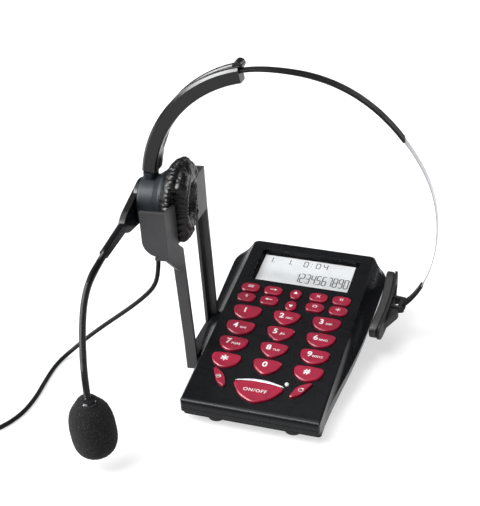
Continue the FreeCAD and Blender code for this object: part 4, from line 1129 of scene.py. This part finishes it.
# Width, height and stroke of the display's figures, and the level of their feet.
TALL, TALL_FEET = (2.4, 8.8, 0.66), 125.3
SMALL, SMALL_FEET = (2.5, 5.2, 0.6), 141.6
TALL_START, TALL_PITCH = -6.2, 3.6
SMALL_FIGURES = (("1", -27.5), ("1", -15.5), ("0", -3.6), ("0", 4.6), ("4", 9.4))
DASHES, COLON, COLON_DOTS = (-23.6, -11.6), 1.4, (143.0, 145.4)
FIGURES_LIFT, MASK_LIFT = 0.05, 0.04
# Left and right, then front and back, of the mask's opening and of its rim.
MASK_INNER, MASK_OUTER = ((-30.7, 29.7), (119.0, 148.8)), ((-32.3, 32.3), (117.7, 149.8))


def digit_strokes(sign, x, y, wide, tall, stroke):
    """Strokes of one seven-segment digit; x and y are its lower left corner."""
    half = tall / 2
    places = {
        "a": (wide / 2, tall, 0), "g": (wide / 2, half, 0), "d": (wide / 2, 0, 0),
        "f": (0, half * 1.5, 1), "b": (wide, half * 1.5, 1),
        "e": (0, half * 0.5, 1), "c": (wide, half * 0.5, 1),
    }
    strokes = []
    for segment in SEGMENTS[sign]:
        along, up, upright = places[segment]
        long = (half if upright else wide) - stroke * 0.5
        strokes.append(bar(x + along, y + up, long, stroke, 2 * QUARTER if upright else 0))
    return strokes


class DIALPAD_OT_display(bpy.types.Operator):
    """Draw the display: its black mask, the line of small figures and the line of tall ones."""

    bl_idname = "dialpad.display"
    bl_label = "Display"

    def execute(self, context):
        strokes = []
        for number, sign in enumerate("1234567890"):
            strokes += digit_strokes(sign, TALL_START + TALL_PITCH * number, TALL_FEET, *TALL)
        for sign, x in SMALL_FIGURES:
            strokes += digit_strokes(sign, x, SMALL_FEET, *SMALL)
        strokes += [bar(x, SMALL_FEET + 0.1, 0.7, 0.6) for x in DASHES]
        strokes += [bar(COLON, y, 0.55, 0.55) for y in COLON_DOTS]
        figures = join("display_figures", strokes)
        settle(figures, console_frame() @ spot(0, 0, LCD_LEVEL + FIGURES_LIFT))
        cover(figures, "lcd_ink")
        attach(figures, "console")

        deselect()
        bpy.ops.mesh.primitive_plane_add(size=1)
        mask = named("display_mask")
        edit_all(mask, bpy.ops.mesh.delete, type="ONLY_FACE")
        edit_all(mask, bpy.ops.mesh.extrude_region_move, TRANSFORM_OT_translate={"value": (0, 0, 0)})
        for vertex in mask.data.vertices:
            sides, ends = MASK_OUTER if vertex.index >= 4 else MASK_INNER
            vertex.co = Vector((sides[vertex.co.x > 0], ends[vertex.co.y > 0], 0)) * MM
        face_out(mask)
        thicken(mask, 0.06)
        settle(mask, console_frame() @ spot(0, 0, LCD_LEVEL + MASK_LIFT))
        face_out(mask)
        cover(mask, "mask_black")
        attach(mask, "console")
        return {"FINISHED"}


# ---------------------------------------------------------------- panel, registration and run
STEPS = (
    DIALPAD_OT_stage, DIALPAD_OT_cord, DIALPAD_OT_finishes, DIALPAD_OT_cushion, DIALPAD_OT_speaker_cloth,
    DIALPAD_OT_windscreen, DIALPAD_OT_gooseneck, DIALPAD_OT_temple_pad, DIALPAD_OT_legends,
    DIALPAD_OT_symbols, DIALPAD_OT_display,
)


class DIALPAD_PT_steps(bpy.types.Panel):
    """The steps that dress the dial pad, in their order."""

    bl_idname = "DIALPAD_PT_steps"
    bl_label = "Dial pad"
    bl_space_type = "VIEW_3D"
    bl_region_type = "UI"
    bl_category = "Dial Pad"

    def draw(self, context):
        for step in STEPS:
            self.layout.operator(step.bl_idname)
        for group in SETTINGS:
            settings = getattr(context.scene, group)
            for name in settings.bl_rna.properties.keys():
                if name not in ("rna_type", "name"):
                    self.layout.prop(settings, name)


SETTINGS = {
    "dial_pad_colours": DialPadColours,
    "dial_pad_cord": DialPadCord,
    "dial_pad_cushion": DialPadCushion,
    "dial_pad_studio": DialPadStudio,
}
CLASSES = (*SETTINGS.values(), *STEPS, DIALPAD_PT_steps)


def register():
    for made in CLASSES:
        bpy.utils.register_class(made)
    for name, group in SETTINGS.items():
        setattr(bpy.types.Scene, name, PointerProperty(type=group))


def unregister():
    for name in SETTINGS:
        delattr(bpy.types.Scene, name)
    for made in reversed(CLASSES):
        bpy.utils.unregister_class(made)


def main():
    register()
    bpy.ops.dialpad.stage()
    bpy.ops.dialpad.cord()
    bpy.ops.dialpad.finishes()
    bpy.ops.dialpad.cushion()
    bpy.ops.dialpad.speaker_cloth()
    bpy.ops.dialpad.windscreen()
    bpy.ops.dialpad.gooseneck()
    bpy.ops.dialpad.temple_pad()
    bpy.ops.dialpad.legends()
    bpy.ops.dialpad.symbols()
    bpy.ops.dialpad.display()


if __name__ == "__main__":
    main()
